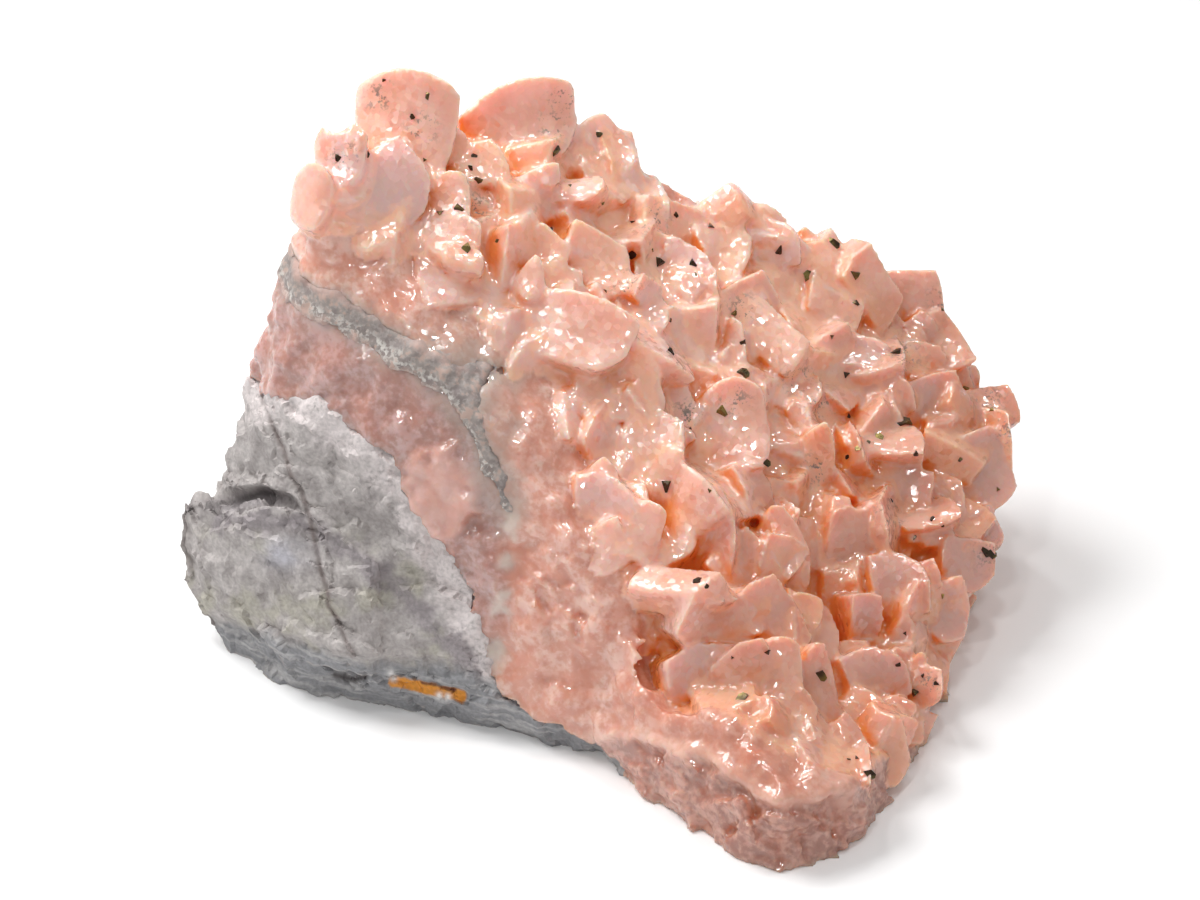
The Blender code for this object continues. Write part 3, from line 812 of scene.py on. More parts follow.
def named(tree, name, kind="FLOAT"):
    return nodeValue(tree, "GeometryNodeInputNamedAttribute", {"Name": name}, "Attribute", data_type=kind)


def geometryTree(name, first, inputs):  # a new tree, and the identifiers of the inputs that are set later
    tree = bpy.data.node_groups.new(name, "GeometryNodeTree")
    socket(tree, first, "Geometry")
    names = {label: socket(tree, label, kind).identifier for label, kind in inputs}
    socket(tree, "Geometry", "Geometry", "OUTPUT")
    return tree, names


def pickFrom(tree, collection):
    return nodeValue(tree, "GeometryNodeCollectionInfo", {
        "Collection": collection, "Separate Children": True, "Reset Children": True})


def grownShapes(tree, given):  # each point's shape, placed by the point's matrix
    grown = nodeValue(tree, "GeometryNodeInstanceOnPoints", {
        "Points": given["Points"], "Instance": pickFrom(tree, given["Shapes"]), "Pick Instance": True,
        "Instance Index": named(tree, "shape", "INT")})
    return nodeValue(tree, "GeometryNodeSetInstanceTransform", {
        "Instances": grown, "Transform": named(tree, "grow", "FLOAT4X4")})


def endTree(tree, geometry, material):
    real = nodeValue(tree, "GeometryNodeRealizeInstances", {"Geometry": geometry})
    painted = nodeValue(tree, "GeometryNodeSetMaterial", {"Geometry": real, "Material": material})
    addNode(tree, "NodeGroupOutput", {"Geometry": painted})


def addTree(obj, tree, values):  # values by the identifiers of the tree's inputs
    modifier = obj.modifiers.new(tree.name, "NODES")
    modifier.node_group = tree
    for identifier, value in values.items():
        modifier[identifier] = value


def druseTree():  # grows the shapes on the points, beds small ones between them and joins all to the crust
    look = crystalLook
    tree, names = geometryTree("Dolomite druse", "Points", (
        ("Crust", "Object"), ("Shapes", "Collection"), ("Small shapes", "Collection"),
        ("Material", "Material")))
    for name, value in (("Bed spacing", look["bedSpacing"] * mm), ("Smallest", look["bedSize"][0]),
                        ("Largest", look["bedSize"][1]), ("Tilt", math.radians(look["bedTilt"]))):
        socket(tree, name, "Float", "INPUT", value)
    socket(tree, "Seed", "Int", "INPUT", look["bedSeed"])
    given = addNode(tree, "NodeGroupInput").outputs
    crust = nodeValue(tree, "GeometryNodeObjectInfo", {"Object": given["Crust"]}, "Geometry")
    scattered = addNode(tree, "GeometryNodeDistributePointsOnFaces", {
        "Mesh": crust, "Distance Min": given["Bed spacing"], "Density Max": look["bedDensity"] / mm / mm,
        "Density Factor": named(tree, "bed"), "Seed": given["Seed"]}, distribute_method="POISSON")
    tilt = nodeValue(tree, "ShaderNodeCombineXYZ", {0: given["Tilt"], 1: given["Tilt"], 2: math.pi})
    least = nodeValue(tree, "ShaderNodeVectorMath", {0: tilt, "Scale": -1.0}, operation="SCALE")
    spin = nodeValue(tree, "FunctionNodeRandomValue", {0: least, 1: tilt, "Seed": given["Seed"]},
                     data_type="FLOAT_VECTOR")
    turned = nodeValue(tree, "FunctionNodeRotateRotation", {
        "Rotation": scattered.outputs["Rotation"], "Rotate By": spin}, rotation_space="LOCAL")
    size = nodeValue(tree, "FunctionNodeRandomValue", {2: given["Smallest"], 3: given["Largest"]}, 1)
    narrow, wide = (share * mm for share in look["bedWidth"])
    wider = nodeValue(tree, "FunctionNodeRandomValue", {2: narrow, 3: wide, "Seed": 9}, 1)
    width = mathNode(tree, "MULTIPLY", size, wider)
    height = mathNode(tree, "MULTIPLY", size, 0.5 * mm)
    scale = nodeValue(tree, "ShaderNodeCombineXYZ", {0: width, 1: height, 2: height})
    bedding = nodeValue(tree, "GeometryNodeInstanceOnPoints", {
        "Points": scattered.outputs["Points"], "Instance": pickFrom(tree, given["Small shapes"]),
        "Pick Instance": True, "Rotation": turned, "Scale": scale})
    joined = addNode(tree, "GeometryNodeMeshBoolean", operation="UNION", solver="MANIFOLD")
    for part in (crust, grownShapes(tree, given), bedding):
        tree.links.new(part, joined.inputs["Mesh 2"])
    endTree(tree, joined.outputs["Mesh"], given["Material"])
    return tree, names


# materials
def mixColour(tree, share, first, second, blend="MIX"):
    ends = [value if isinstance(value, bpy.types.NodeSocket) else (*value, 1) for value in (first, second)]
    values = {0: share, 6: ends[0], 7: ends[1]}
    return nodeValue(tree, "ShaderNodeMix", values, 2, data_type="RGBA", blend_type=blend)


def layered(tree, colour, *layers):  # each layer is its share and its colour
    for share, over in layers:
        colour = mixColour(tree, share, colour, over)
    return colour


def mathNode(tree, operation, first, second):
    return nodeValue(tree, "ShaderNodeMath", {0: first, 1: second}, operation=operation)


def times(tree, first, second):
    return mathNode(tree, "MULTIPLY", first, second)


def rampNode(tree, value, low, high, start=0.0, end=1.0):
    return nodeValue(tree, "ShaderNodeMapRange", {
        "Value": value, "From Min": low, "From Max": high, "To Min": start, "To Max": end},
        "Result", interpolation_type="SMOOTHSTEP")


def objectPlace(tree):
    return nodeValue(tree, "ShaderNodeTexCoord", None, "Object")


def shaderGroup(name, inputs, outputs):
    tree = bpy.data.node_groups.new(name, "ShaderNodeTree")
    for label, kind, value in inputs:
        socket(tree, label, kind, "INPUT", value)
    for label, kind in outputs:
        socket(tree, label, kind, "OUTPUT")
    return tree, tree.nodes.new("NodeGroupInput").outputs


def makeCleavageGroup():  # small growth facets, each leaning its own way, so that they glint one by one
    tree, given = shaderGroup(
        "Cleavage facets",
        [("Size", "Float", 0.6), ("Lean", "Float", 0.2), ("Amount", "Float", 1.0)],
        [("Normal", "Vector"), ("Cell", "Float")],
    )
    scale = mathNode(tree, "DIVIDE", 1 / mm, given["Size"])
    cells = nodeValue(tree, "ShaderNodeTexVoronoi", {
        "Vector": objectPlace(tree), "Scale": scale, "Randomness": 0.9}, "Color")
    lean = nodeValue(tree, "ShaderNodeVectorMath", {0: cells, 1: (0.5, 0.5, 0.5)}, operation="SUBTRACT")
    amount = times(tree, given["Lean"], given["Amount"])
    lean = nodeValue(tree, "ShaderNodeVectorMath", {0: lean, "Scale": amount}, operation="SCALE")
    surface = nodeValue(tree, "ShaderNodeNewGeometry", None, "Normal")
    tilted = nodeValue(tree, "ShaderNodeVectorMath", {0: surface, 1: lean}, operation="ADD")
    unit = nodeValue(tree, "ShaderNodeVectorMath", {0: tilted}, operation="NORMALIZE")
    cell = nodeValue(tree, "ShaderNodeSeparateColor", {"Color": cells})
    addNode(tree, "NodeGroupOutput", {"Normal": unit, "Cell": cell})
    return tree


def makeGrainGroup():  # two sizes of grain in one value, about 0 to 1
    tree, given = shaderGroup(
        "Stone grain",
        [("Fine", "Float", 0.25), ("Coarse", "Float", 2.0), ("Share", "Float", 0.5)],
        [("Value", "Float"), ("Fine", "Float"), ("Coarse", "Float")],
    )
    place = objectPlace(tree)
    fine, coarse = (nodeValue(tree, "ShaderNodeTexNoise", {
        "Vector": place, "Scale": mathNode(tree, "DIVIDE", 1 / mm, given[size]), "Detail": detail})
        for size, detail in (("Fine", 3.0), ("Coarse", 4.0)))
    mixed = nodeValue(tree, "ShaderNodeMix", {0: given["Share"], 2: fine, 3: coarse})
    addNode(tree, "NodeGroupOutput", {0: mixed, 1: fine, 2: coarse})
    return tree


def group(tree, made, values):
    return addNode(tree, "ShaderNodeGroup", values, node_tree=made).outputs


def newMaterial(name):
    material = bpy.data.materials.new(name)
    material.use_nodes = True
    tree = material.node_tree
    surface = tree.nodes["Principled BSDF"].inputs
    return material, tree, surface


def maskNode(tree, name):
    return nodeValue(tree, "ShaderNodeAttribute", None, "Fac", attribute_name=name)


def finishDull(tree, surface, look, colour, height):  # a rough surface with a small bump
    tree.links.new(colour, surface["Base Color"])
    surface["Roughness"].default_value = look["roughness"]
    bump = nodeValue(tree, "ShaderNodeBump", {
        "Strength": look["bump"], "Distance": look["bumpDepth"] * mm, "Height": height})
    tree.links.new(bump, surface["Normal"])


# several colours here are painted shade: the orange glow of sheltered crevices and of the crystals' roots,
# the crease colour, and a multiplied colour that darkens towards the lower right
dolomiteFinish = {
    "pale": (0.84, 0.54, 0.45), "blush": (0.78, 0.43, 0.33), "deep": (0.78, 0.25, 0.06),
    "rootShade": (0.92, 0.44, 0.22), "lilac": (0.75, 0.50, 0.45), "peach": (0.90, 0.53, 0.38),
    "rim": (0.92, 0.69, 0.61),
    "massive": (0.67, 0.34, 0.26), "massivePale": (0.79, 0.51, 0.43), "crease": (0.66, 0.25, 0.16),
    "mauve": (0.41, 0.225, 0.19), "mauvePale": (0.55, 0.36, 0.335), "glossy": (0.74, 0.46, 0.40),
    "tip": (0.45, 0.25, 0.21), "tipPale": (0.68, 0.43, 0.37), "dusk": (0.84, 0.74, 0.68),
    "smoke": (0.40, 0.33, 0.29), "trace": (0.66, 0.57, 0.50), "smut": (0.22, 0.18, 0.16),
    "clouds": {"Fine": 0.5, "Coarse": 3.0}, "dust": {"Fine": 0.22, "Coarse": 0.9},  # mm
    "rootShadeShare": 0.4, "glossyShare": 0.75, "creaseShadeShare": 0.5, "rimShare": 0.5, "massiveShadeShare": 0.3,
    "roughness": (0.7 * 0.17, 1.5 * 0.17), "ior": 1.6,
    "facet": 0.42, "facetLean": 0.44, "massiveFacets": 0.45,
    "glow": 0.9, "glowLeast": 0.1, "glowDepth": 2.4, "glowColour": (1.0, 0.36, 0.20),
}


def dolomiteMaterial(cleavage, grain):
    look = dolomiteFinish
    material, tree, surface = newMaterial("pinkDolomite")
    mask = {name: maskNode(tree, name) for name in (
        "massive", "tint", "root", "rim", "mauve", "tip", "glossy", "crease", "dusk", "deep", "smoke",
        "trace", "smut")}
    clouds = group(tree, grain, look["clouds"])
    dust = group(tree, grain, look["dust"])
    mottle = rampNode(tree, clouds["Value"], 0.42, 0.60)
    crystals = layered(
        tree, look["pale"],
        (rampNode(tree, clouds["Coarse"], 0.38, 0.62), look["blush"]),
        (rampNode(tree, mask["tint"], 0.62, 0.95), look["lilac"]),
        (rampNode(tree, mask["tint"], 0.40, 0.05), look["peach"]),
        # painted shade, more orange towards the crystals' roots down in the crevices
        (times(tree, rampNode(tree, mask["root"], 0.05, 0.9), look["rootShadeShare"]), look["rootShade"]))
    lump = layered(
        tree, mixColour(tree, mottle, look["massive"], look["massivePale"]),
        (mask["mauve"], mixColour(tree, mottle, look["mauve"], look["mauvePale"])),
        (mask["tip"], mixColour(tree, mottle, look["tip"], look["tipPale"])),
        (times(tree, mask["glossy"], look["glossyShare"]), look["glossy"]),
        # painted shade in the creases between the domes
        (times(tree, mask["crease"], look["creaseShadeShare"]), look["crease"]))
    rim = times(tree, mask["rim"], look["rimShare"])
    colour = layered(tree, crystals, (mask["massive"], lump), (rim, look["rim"]))
    # painted shade, darker towards the lower right, away from the crown
    colour = mixColour(tree, mask["dusk"], colour, look["dusk"], "MULTIPLY")
    # painted shade, an orange glow in sheltered crevices, less of it on the massive crust
    deep = times(tree, mask["deep"], rampNode(tree, mask["massive"], 0, 1, 1.0, look["massiveShadeShare"]))
    dusty = times(tree, rampNode(tree, dust["Value"], 0.52, 0.60), mask["smut"])
    colour = layered(
        tree, colour,
        (deep, look["deep"]), (mask["smoke"], look["smoke"]), (mask["trace"], look["trace"]),
        (dusty, look["smut"]))
    tree.links.new(colour, surface["Base Color"])
    sparkle = rampNode(tree, mask["massive"], 0.0, 1.0, 1.0, look["massiveFacets"])
    facets = group(tree, cleavage, {"Size": look["facet"], "Lean": look["facetLean"], "Amount": sparkle})
    tree.links.new(facets["Normal"], surface["Normal"])
    tree.links.new(rampNode(tree, facets["Cell"], 0.2, 0.9, *look["roughness"]), surface["Roughness"])
    dull = mathNode(tree, "MAXIMUM", mask["smoke"], mask["trace"])
    dull = mathNode(tree, "MAXIMUM", dull, times(tree, mask["massive"], 0.5))
    glow = rampNode(tree, dull, 0.0, 1.0, look["glow"], look["glowLeast"])
    tree.links.new(glow, surface["Subsurface Weight"])
    surface["Subsurface Radius"].default_value = look["glowColour"]
    surface["Subsurface Scale"].default_value = look["glowDepth"] * mm
    surface["IOR"].default_value = look["ior"]
    return material


# the purple colour also paints the shadow under the ledge, the dark colour the shade under its lip, and the
# underside colour partly the shade of the downward face below the low ledge
stoneFinish = {
    "grey": (0.33, 0.30, 0.29), "light": (0.47, 0.435, 0.42), "purple": (0.25, 0.22, 0.23),
    "pale": (0.64, 0.58, 0.57), "warm": (0.41, 0.385, 0.33), "dark": (0.07, 0.06, 0.06),
    "under": (0.25, 0.25, 0.26), "streak": (0.42, 0.41, 0.41), "crack": (0.16, 0.12, 0.11),
    "spot": (0.60, 0.60, 0.68), "rust": (0.62, 0.24, 0.02), "maroon": (0.10, 0.02, 0.01),
    "crumb": (0.75, 0.73, 0.72),
    "roughness": 0.72, "bump": 0.35, "bumpDepth": 0.25,
    "mottle": {"Fine": 0.3, "Coarse": 1.8, "Share": 0.5},  # mm
    "strata": (0.25, 0.25, 2.2),  # the bedding seen underneath is squeezed by this along each axis
}


def stoneMaterial(grain):
    look = stoneFinish
    material, tree, surface = newMaterial("greyDolostone")
    mottle = group(tree, grain, look["mottle"])
    flat = nodeValue(tree, "ShaderNodeMapping", {"Vector": objectPlace(tree), "Scale": look["strata"]})
    layers = nodeValue(tree, "ShaderNodeTexNoise", {"Vector": flat, "Scale": 0.9 / mm, "Detail": 3.0})
    worn = rampNode(tree, mottle["Value"], 0.22, 0.48)
    strata = mixColour(tree, rampNode(tree, layers, 0.45, 0.68), look["under"], look["streak"])
    colour = layered(
        tree, look["grey"],
        (rampNode(tree, mottle["Coarse"], 0.36, 0.64), look["light"]),
        (maskNode(tree, "warm"), look["warm"]),
        (times(tree, maskNode(tree, "pale"), worn), look["pale"]),
        (maskNode(tree, "spot"), look["spot"]),
        (maskNode(tree, "purple"), look["purple"]),
        (maskNode(tree, "under"), strata),
        *((maskNode(tree, name), look[name]) for name in ("dark", "crack", "rust", "maroon", "crumb")))
    fine = rampNode(tree, mottle["Fine"], 0.3, 0.7, 0.85, 1.09)
    tone = nodeValue(tree, "ShaderNodeCombineColor", {0: fine, 1: fine, 2: fine})
    finishDull(tree, surface, look, mixColour(tree, 1.0, colour, tone, "MULTIPLY"), mottle["Fine"])
    return material


seamFinish = {
    "grey": (0.23, 0.19, 0.18), "green": (0.32, 0.28, 0.255), "grain": (0.58, 0.55, 0.51),
    "blush": (0.46, 0.33, 0.28), "edge": (0.52, 0.34, 0.29),
    "roughness": 0.6, "bump": 0.5, "bumpDepth": 0.3, "mottle": {"Fine": 0.35, "Coarse": 1.2},
}


def seamMaterial(grain):
    look = seamFinish
    material, tree, surface = newMaterial("greySeam")
    mottle = group(tree, grain, look["mottle"])
    grains = nodeValue(tree, "ShaderNodeTexVoronoi", {
        "Vector": objectPlace(tree), "Scale": 3.6 / mm}, "Color")
    pick = nodeValue(tree, "ShaderNodeSeparateColor", {"Color": grains}, 1)
    fleck = times(tree, rampNode(tree, pick, 0.1, 0.7), rampNode(tree, mottle["Fine"], 0.36, 0.56))
    fleck = times(tree, fleck, rampNode(tree, maskNode(tree, "pale"), 0.0, 1.0, 0.25, 1.0))
    colour = layered(
        tree, look["grey"],
        (rampNode(tree, mottle["Coarse"], 0.35, 0.65), look["green"]),
        (fleck, look["grain"]),
        (rampNode(tree, mottle["Value"], 0.50, 0.62), look["blush"]),
        (times(tree, maskNode(tree, "edge"), 0.7), look["edge"]))
    finishDull(tree, surface, look, colour, pick)
    return material


brassFinish = {
    "dark": (0.045, 0.03, 0.018), "brass": (0.26, 0.20, 0.06), "roughness": (0.25, 0.5), "metallic": 0.75,
    "tarnish": {"Fine": 0.3, "Coarse": 2.2},  # mm
}


def brassMaterial(grain):
    look = brassFinish
    material, tree, surface = newMaterial("chalcopyrite")
    tarnish = group(tree, grain, look["tarnish"])
    colour = mixColour(tree, rampNode(tree, tarnish["Coarse"], 0.45, 0.7), look["dark"], look["brass"])
    tree.links.new(colour, surface["Base Color"])
    surface["Metallic"].default_value = look["metallic"]
    tree.links.new(rampNode(tree, tarnish["Fine"], 0.3, 0.7, *look["roughness"]), surface["Roughness"])
    return material


cleavageGroup, grainGroup = makeCleavageGroup(), makeGrainGroup()
materials = {
    "dolomite": dolomiteMaterial(cleavageGroup, grainGroup),
    "dolostone": stoneMaterial(grainGroup),
    "seam": seamMaterial(grainGroup),
    "chalcopyrite": brassMaterial(grainGroup),
}
print("materials", len(materials))


# the grey rock
rockLook = {
    "grain": 0.34, "fineCuts": 2,  # mm between points, and how often the marked places are split
    "waves": (5.0, 0.34), "pits": (1.5, 0.12), "chips": (3.2, 0.26), "fineChips": (1.2, 0.12),  # apart, tall
    "layers": (1.3, 0.26), "flat": (0.16, 0.16, 1.0),  # bedding: mm apart and tall, squeezed along each axis
    "leftEdge": [(-31.4, -3.0), (-31.0, -8.0), (-28.6, -13.2), (-24.6, -15.8)], "trim": 0.7,
    "ledge": [(-31.0, -3.4), (-27.3, -3.5), (-25.0, -2.7), (-23.0, -3.1), (-22.1, -4.1)],
    "ledgeStep": 0.5, "lip": 0.3,
    "recess": ((-30.8, -29.0, -27.2, -24.4, -23.0, -21.4), (0, 0.35, 1.0, 1.0, 0.5, 0)),  # across, depth
    "recessDepth": 1.0,
    "crack": [
        (-25.1, 3.9), (-24.3, 1.9), (-23.4, 0.0), (-22.9, -1.9), (-22.1, -3.1), (-21.5, -5.1), (-21.1, -7.0),
        (-20.7, -8.9), (-20.2, -10.4), (-20.1, -11.6), (-19.5, -12.4), (-18.8, -14.2), (-18.3, -15.2),
    ],
    "crackDepth": 0.22,
    "lowLedge": [
        (-27.4, -12.4), (-25.6, -13.0), (-22.3, -14.0), (-18.2, -15.3), (-11.5, -15.4), (-8.6, -16.6),
    ],
    "lowStep": 0.4,
    "slit": [(-19.6, -16.7), (-18.3, -17.0), (-17.4, -16.8)], "slitDepth": 0.5,
    "paleEdge": [(-26.5, 5.5), (-20.0, 3.7), (-14.8, -0.7), (-11.1, -7.4), (-8.9, -12.6), (-7.8, -17.8)],
    "paleWidth": 3.4,
    "band": [
        (-28.6, -5.0), (-25.8, -5.4), (-22.2, -5.4), (-19.2, -7.0), (-17.1, -8.8), (-14.6, -10.4),
        (-12.6, -12.7), (-10.8, -14.7), (-9.2, -16.1),
    ],
    "spot": (-23.2, -7.7, 1.5, 1.0),  # across, up, half width, half height
    "dot": (-24.3, 4.1), "clots": [(-22.8, 3.8), (-19.9, -2.3), (-14.2, -4.3), (-14.6, -1.8), (-16.8, -3.4)],
    "rust": [(-15.2, -17.15), (-13.4, -17.55), (-10.3, -18.2)], "rustHalf": 0.42, "rustSink": 0.25,
    "rustEdge": [(-13.1, -17.15), (-12.0, -17.3), (-10.8, -17.7)],
    "crumbs": [(-15.5, -16.5), (-15.3, -16.9), (-11.9, -18.2), (-11.3, -18.3)], "crumbRise": 0.25,
}


def frontShare(mesh, points):  # 1 where the surface faces the viewer, 0 behind
    toEye = np.array(eye) - points
    toEye /= np.linalg.norm(toEye, axis=1)[:, None]
    return ramp((normalsOf(mesh) * toEye).sum(axis=1), 0.0, 0.25)


def spots(across, up, places, radius):
    nearest = np.full(len(across), 1e9)
    for x, y in places:
        nearest = np.minimum(nearest, np.hypot(across - x, up - y))
    return np.exp(-(nearest / radius) ** 2)


def rockMarks(across, up):  # distances to the marks drawn on the rock
    ledgeAt = lineHeight(across, rockLook["ledge"])
    lowAt = lineHeight(across, rockLook["lowLedge"])
    crack = lineDistance(across, up, rockLook["crack"])
    slit = lineDistance(across, up, rockLook["slit"])
    rust = lineDistance(across, up, rockLook["rust"])
    return ledgeAt, lowAt, crack, slit, rust


def makeRock():
    look = rockLook
    rock = copyOf(lump, "dolostoneRock")
    addBoolean(rock, "INTERSECT", rockZone)
    settle(rock)
    addRemesh(rock, look["grain"])
    settle(rock)
    mesh = rock.data
    points = pointsOf(mesh) / mm
    across, up = sighted(points)
    ledgeAt, lowAt, crack, slit, rust = rockMarks(across, up)
    close = np.minimum(np.minimum(crack, slit), rust - 0.3) < 0.45
    close |= (across > -31.5) & (across < -21) & (np.abs(up - ledgeAt + 0.4) < 1.2)
    refine(mesh, close & (frontShare(mesh, points) > 0.5), look["fineCuts"])
    points = pointsOf(mesh) / mm
    normals = normalsOf(mesh)
    across, up = sighted(points)
    ledgeAt, lowAt, crack, slit, rust = rockMarks(across, up)
    front = frontShare(mesh, points)
    lift = relief(
        points, look,
        ("waves", 1, "lumps"), ("pits", 2, "lumps"), ("chips", 3, "facets"), ("fineChips", 7, "facets"))
    spacing, height = look["layers"]
    lift += height * (1 - 0.85 * front) * noiseField(points * look["flat"], spacing, 8, "lumps")
    lift -= look["trim"] * ramp(lineDistance(across, up, look["leftEdge"]), 1.6, 0.3)
    over = up - ledgeAt
    ends = ramp(across, -20.5, -22.5)
    lift += front * ends * look["ledgeStep"] * (ramp(over, -0.15, 0.15) - 0.5) * ramp(np.abs(over), 8.0, 0.5)
    lift += front * ends * look["lip"] * np.exp(-((over - 0.35) / 0.4) ** 2)
    depth = look["recessDepth"] * np.interp(across, *look["recess"])
    lift -= front * depth * np.exp(-((over + 0.6) / 0.5) ** 2)
    lift -= front * look["crackDepth"] * np.exp(-(crack / 0.16) ** 2)
    lift -= front * look["slitDepth"] * np.exp(-(slit / 0.22) ** 2)
    under = up - lowAt
    lift += front * look["lowStep"] * (ramp(under, -0.3, 0.3) - 0.5) * ramp(np.abs(under), 5.0, 1.0)
    lift -= front * look["rustSink"] * ramp(rust, 0.6, 0.35)
    lift += front * look["crumbRise"] * spots(across, up, look["crumbs"], 0.25)
    movePoints(mesh, (points + normals * lift[:, None]) * mm)
    addBoolean(rock, "DIFFERENCE", ground)
    settle(rock)
    paintRock(rock.data)
    smoothShade(rock.data, 40)
    return rock


def paintRock(mesh):
    look = rockLook
    points = pointsOf(mesh) / mm
    across, up = sighted(points)
    front = frontShare(mesh, points)
    ledgeAt, lowAt, crack, slit, rust = rockMarks(across, up)
    wander = noiseField(points, 2.2, 4, "lumps")
    fine = noiseField(points, 0.8, 5, "lumps")
    edge = lineDistance(across, up, look["paleEdge"]) + wander * 1.3 + fine * 0.8
    top = lineDistance(points @ np.array(section["along"]), points[:, 2], section["rockTop"])
    top += wander * 1.2 + fine
    paleBehind = 0.8 * (1 - front) * ramp(top, 3.0, 0.6)
    band = ramp(lineDistance(across, up, look["band"]) + wander * 0.8 + fine * 0.6, 1.1, 0.1)
    recess = np.interp(across, *look["recess"])
    # painted shadow under the ledge
    shade = recess * np.exp(-((up - ledgeAt + 0.8) / 0.7) ** 2)
    beds = noiseField(points * look["flat"], 2.6, 9, "lumps") + 0.3 * fine
    beds = 0.65 * (1 - front) * ramp(beds, 0.0, 0.45)
    # below the low ledge; its dark tone is partly painted shade of the downward-facing underside
    under = ramp(up - lowAt + fine * 0.4, 0.1, -0.9)
    clots = spots(across, up, look["clots"], 0.4) * 0.45
    dark = np.maximum(np.exp(-(slit / 0.25) ** 2), spots(across, up, [look["dot"]], 0.22))
    # painted shade, darkest just under the ledge lip
    deep = recess * np.exp(-((up - ledgeAt + 0.45) / 0.3) ** 2)
    warm = ramp(noiseField(points, 4.5, 6, "lumps") + fine * 0.3, -0.1, 0.5)
    x, y, wide, tall = look["spot"]
    spot = np.exp(-((across - x) / wide) ** 2 - ((up - y) / tall) ** 2) * (0.8 + 0.6 * wander)
    strip = front * ramp(rust + fine * 0.12, look["rustHalf"] + 0.1, look["rustHalf"] - 0.1)
    setMasks(
        mesh,
        pale=np.maximum(front * ramp(edge, look["paleWidth"], 1.2), paleBehind),
        # purple patches and bedding, with the painted shadow under the ledge
        purple=np.maximum(front * np.maximum(band * 0.8, shade * 0.7), beds),
        # layered streaks below the low ledge, darkened as painted shade of the underside
        under=front * under,
        # dark dot, clots and slit, with the painted shade under the ledge lip
        dark=front * np.maximum(np.maximum(dark, clots), deep * 0.8),
        crack=front * np.exp(-(crack / 0.19) ** 2) * (0.65 + 0.5 * wander),
        warm=warm * ramp(up, -4.5, -8.0) * (1 - 0.8 * front * under),
        spot=front * spot,
        rust=strip,
        maroon=strip * ramp(lineDistance(across, up, look["rustEdge"]), 0.3, 0.1),
        crumb=front * spots(across, up, look["crumbs"], 0.28),
    )


rock = makeRock()
print("rock", len(rock.data.polygons), "faces")


# the pale crust and its crystals
crustLook = {
    "lumps": (3.2, 0.50), "domes": (1.7, 0.30), "fineLumps": (0.8, 0.10),  # mm apart, mm tall
    "tipFacets": (1.9, 0.36), "tipGrains": (0.8, 0.16),
    "broken": (-1.9, -10.8, 4.6), "brokenFacets": (1.3, 0.30),  # across, up, radius of the glinting break
    "glossy": (-11.8, -3.2, 3.3, 0.60),  # across, up, radius and height of the glossy lump
    "mauveEdge": [  # mm up, mm along the section: the mauve rock lies left of it
        (-3, 3), (0, 0), (5.6, -2.7), (11.4, -2.5), (17.9, -3.8), (19.9, -4.7), (22.8, -6.5), (25.7, -8.6),
        (27.3, -11.3), (28.7, -15.8), (30, -19.4), (30.4, -24), (31.5, -32), (33, -40),
    ],
    "ridge": [(1.0, 0.5), (5.1, 2.0), (10.2, 4.8), (16.3, 6.0), (25.8, 5.1), (32, 4.0)],  # mm along, mm up
    "trace": [(-6.3, -4.1), (-6.9, -8.0), (-7.4, -11.1), (-7.9, -17.0), (-8.3, -18.5)],
}


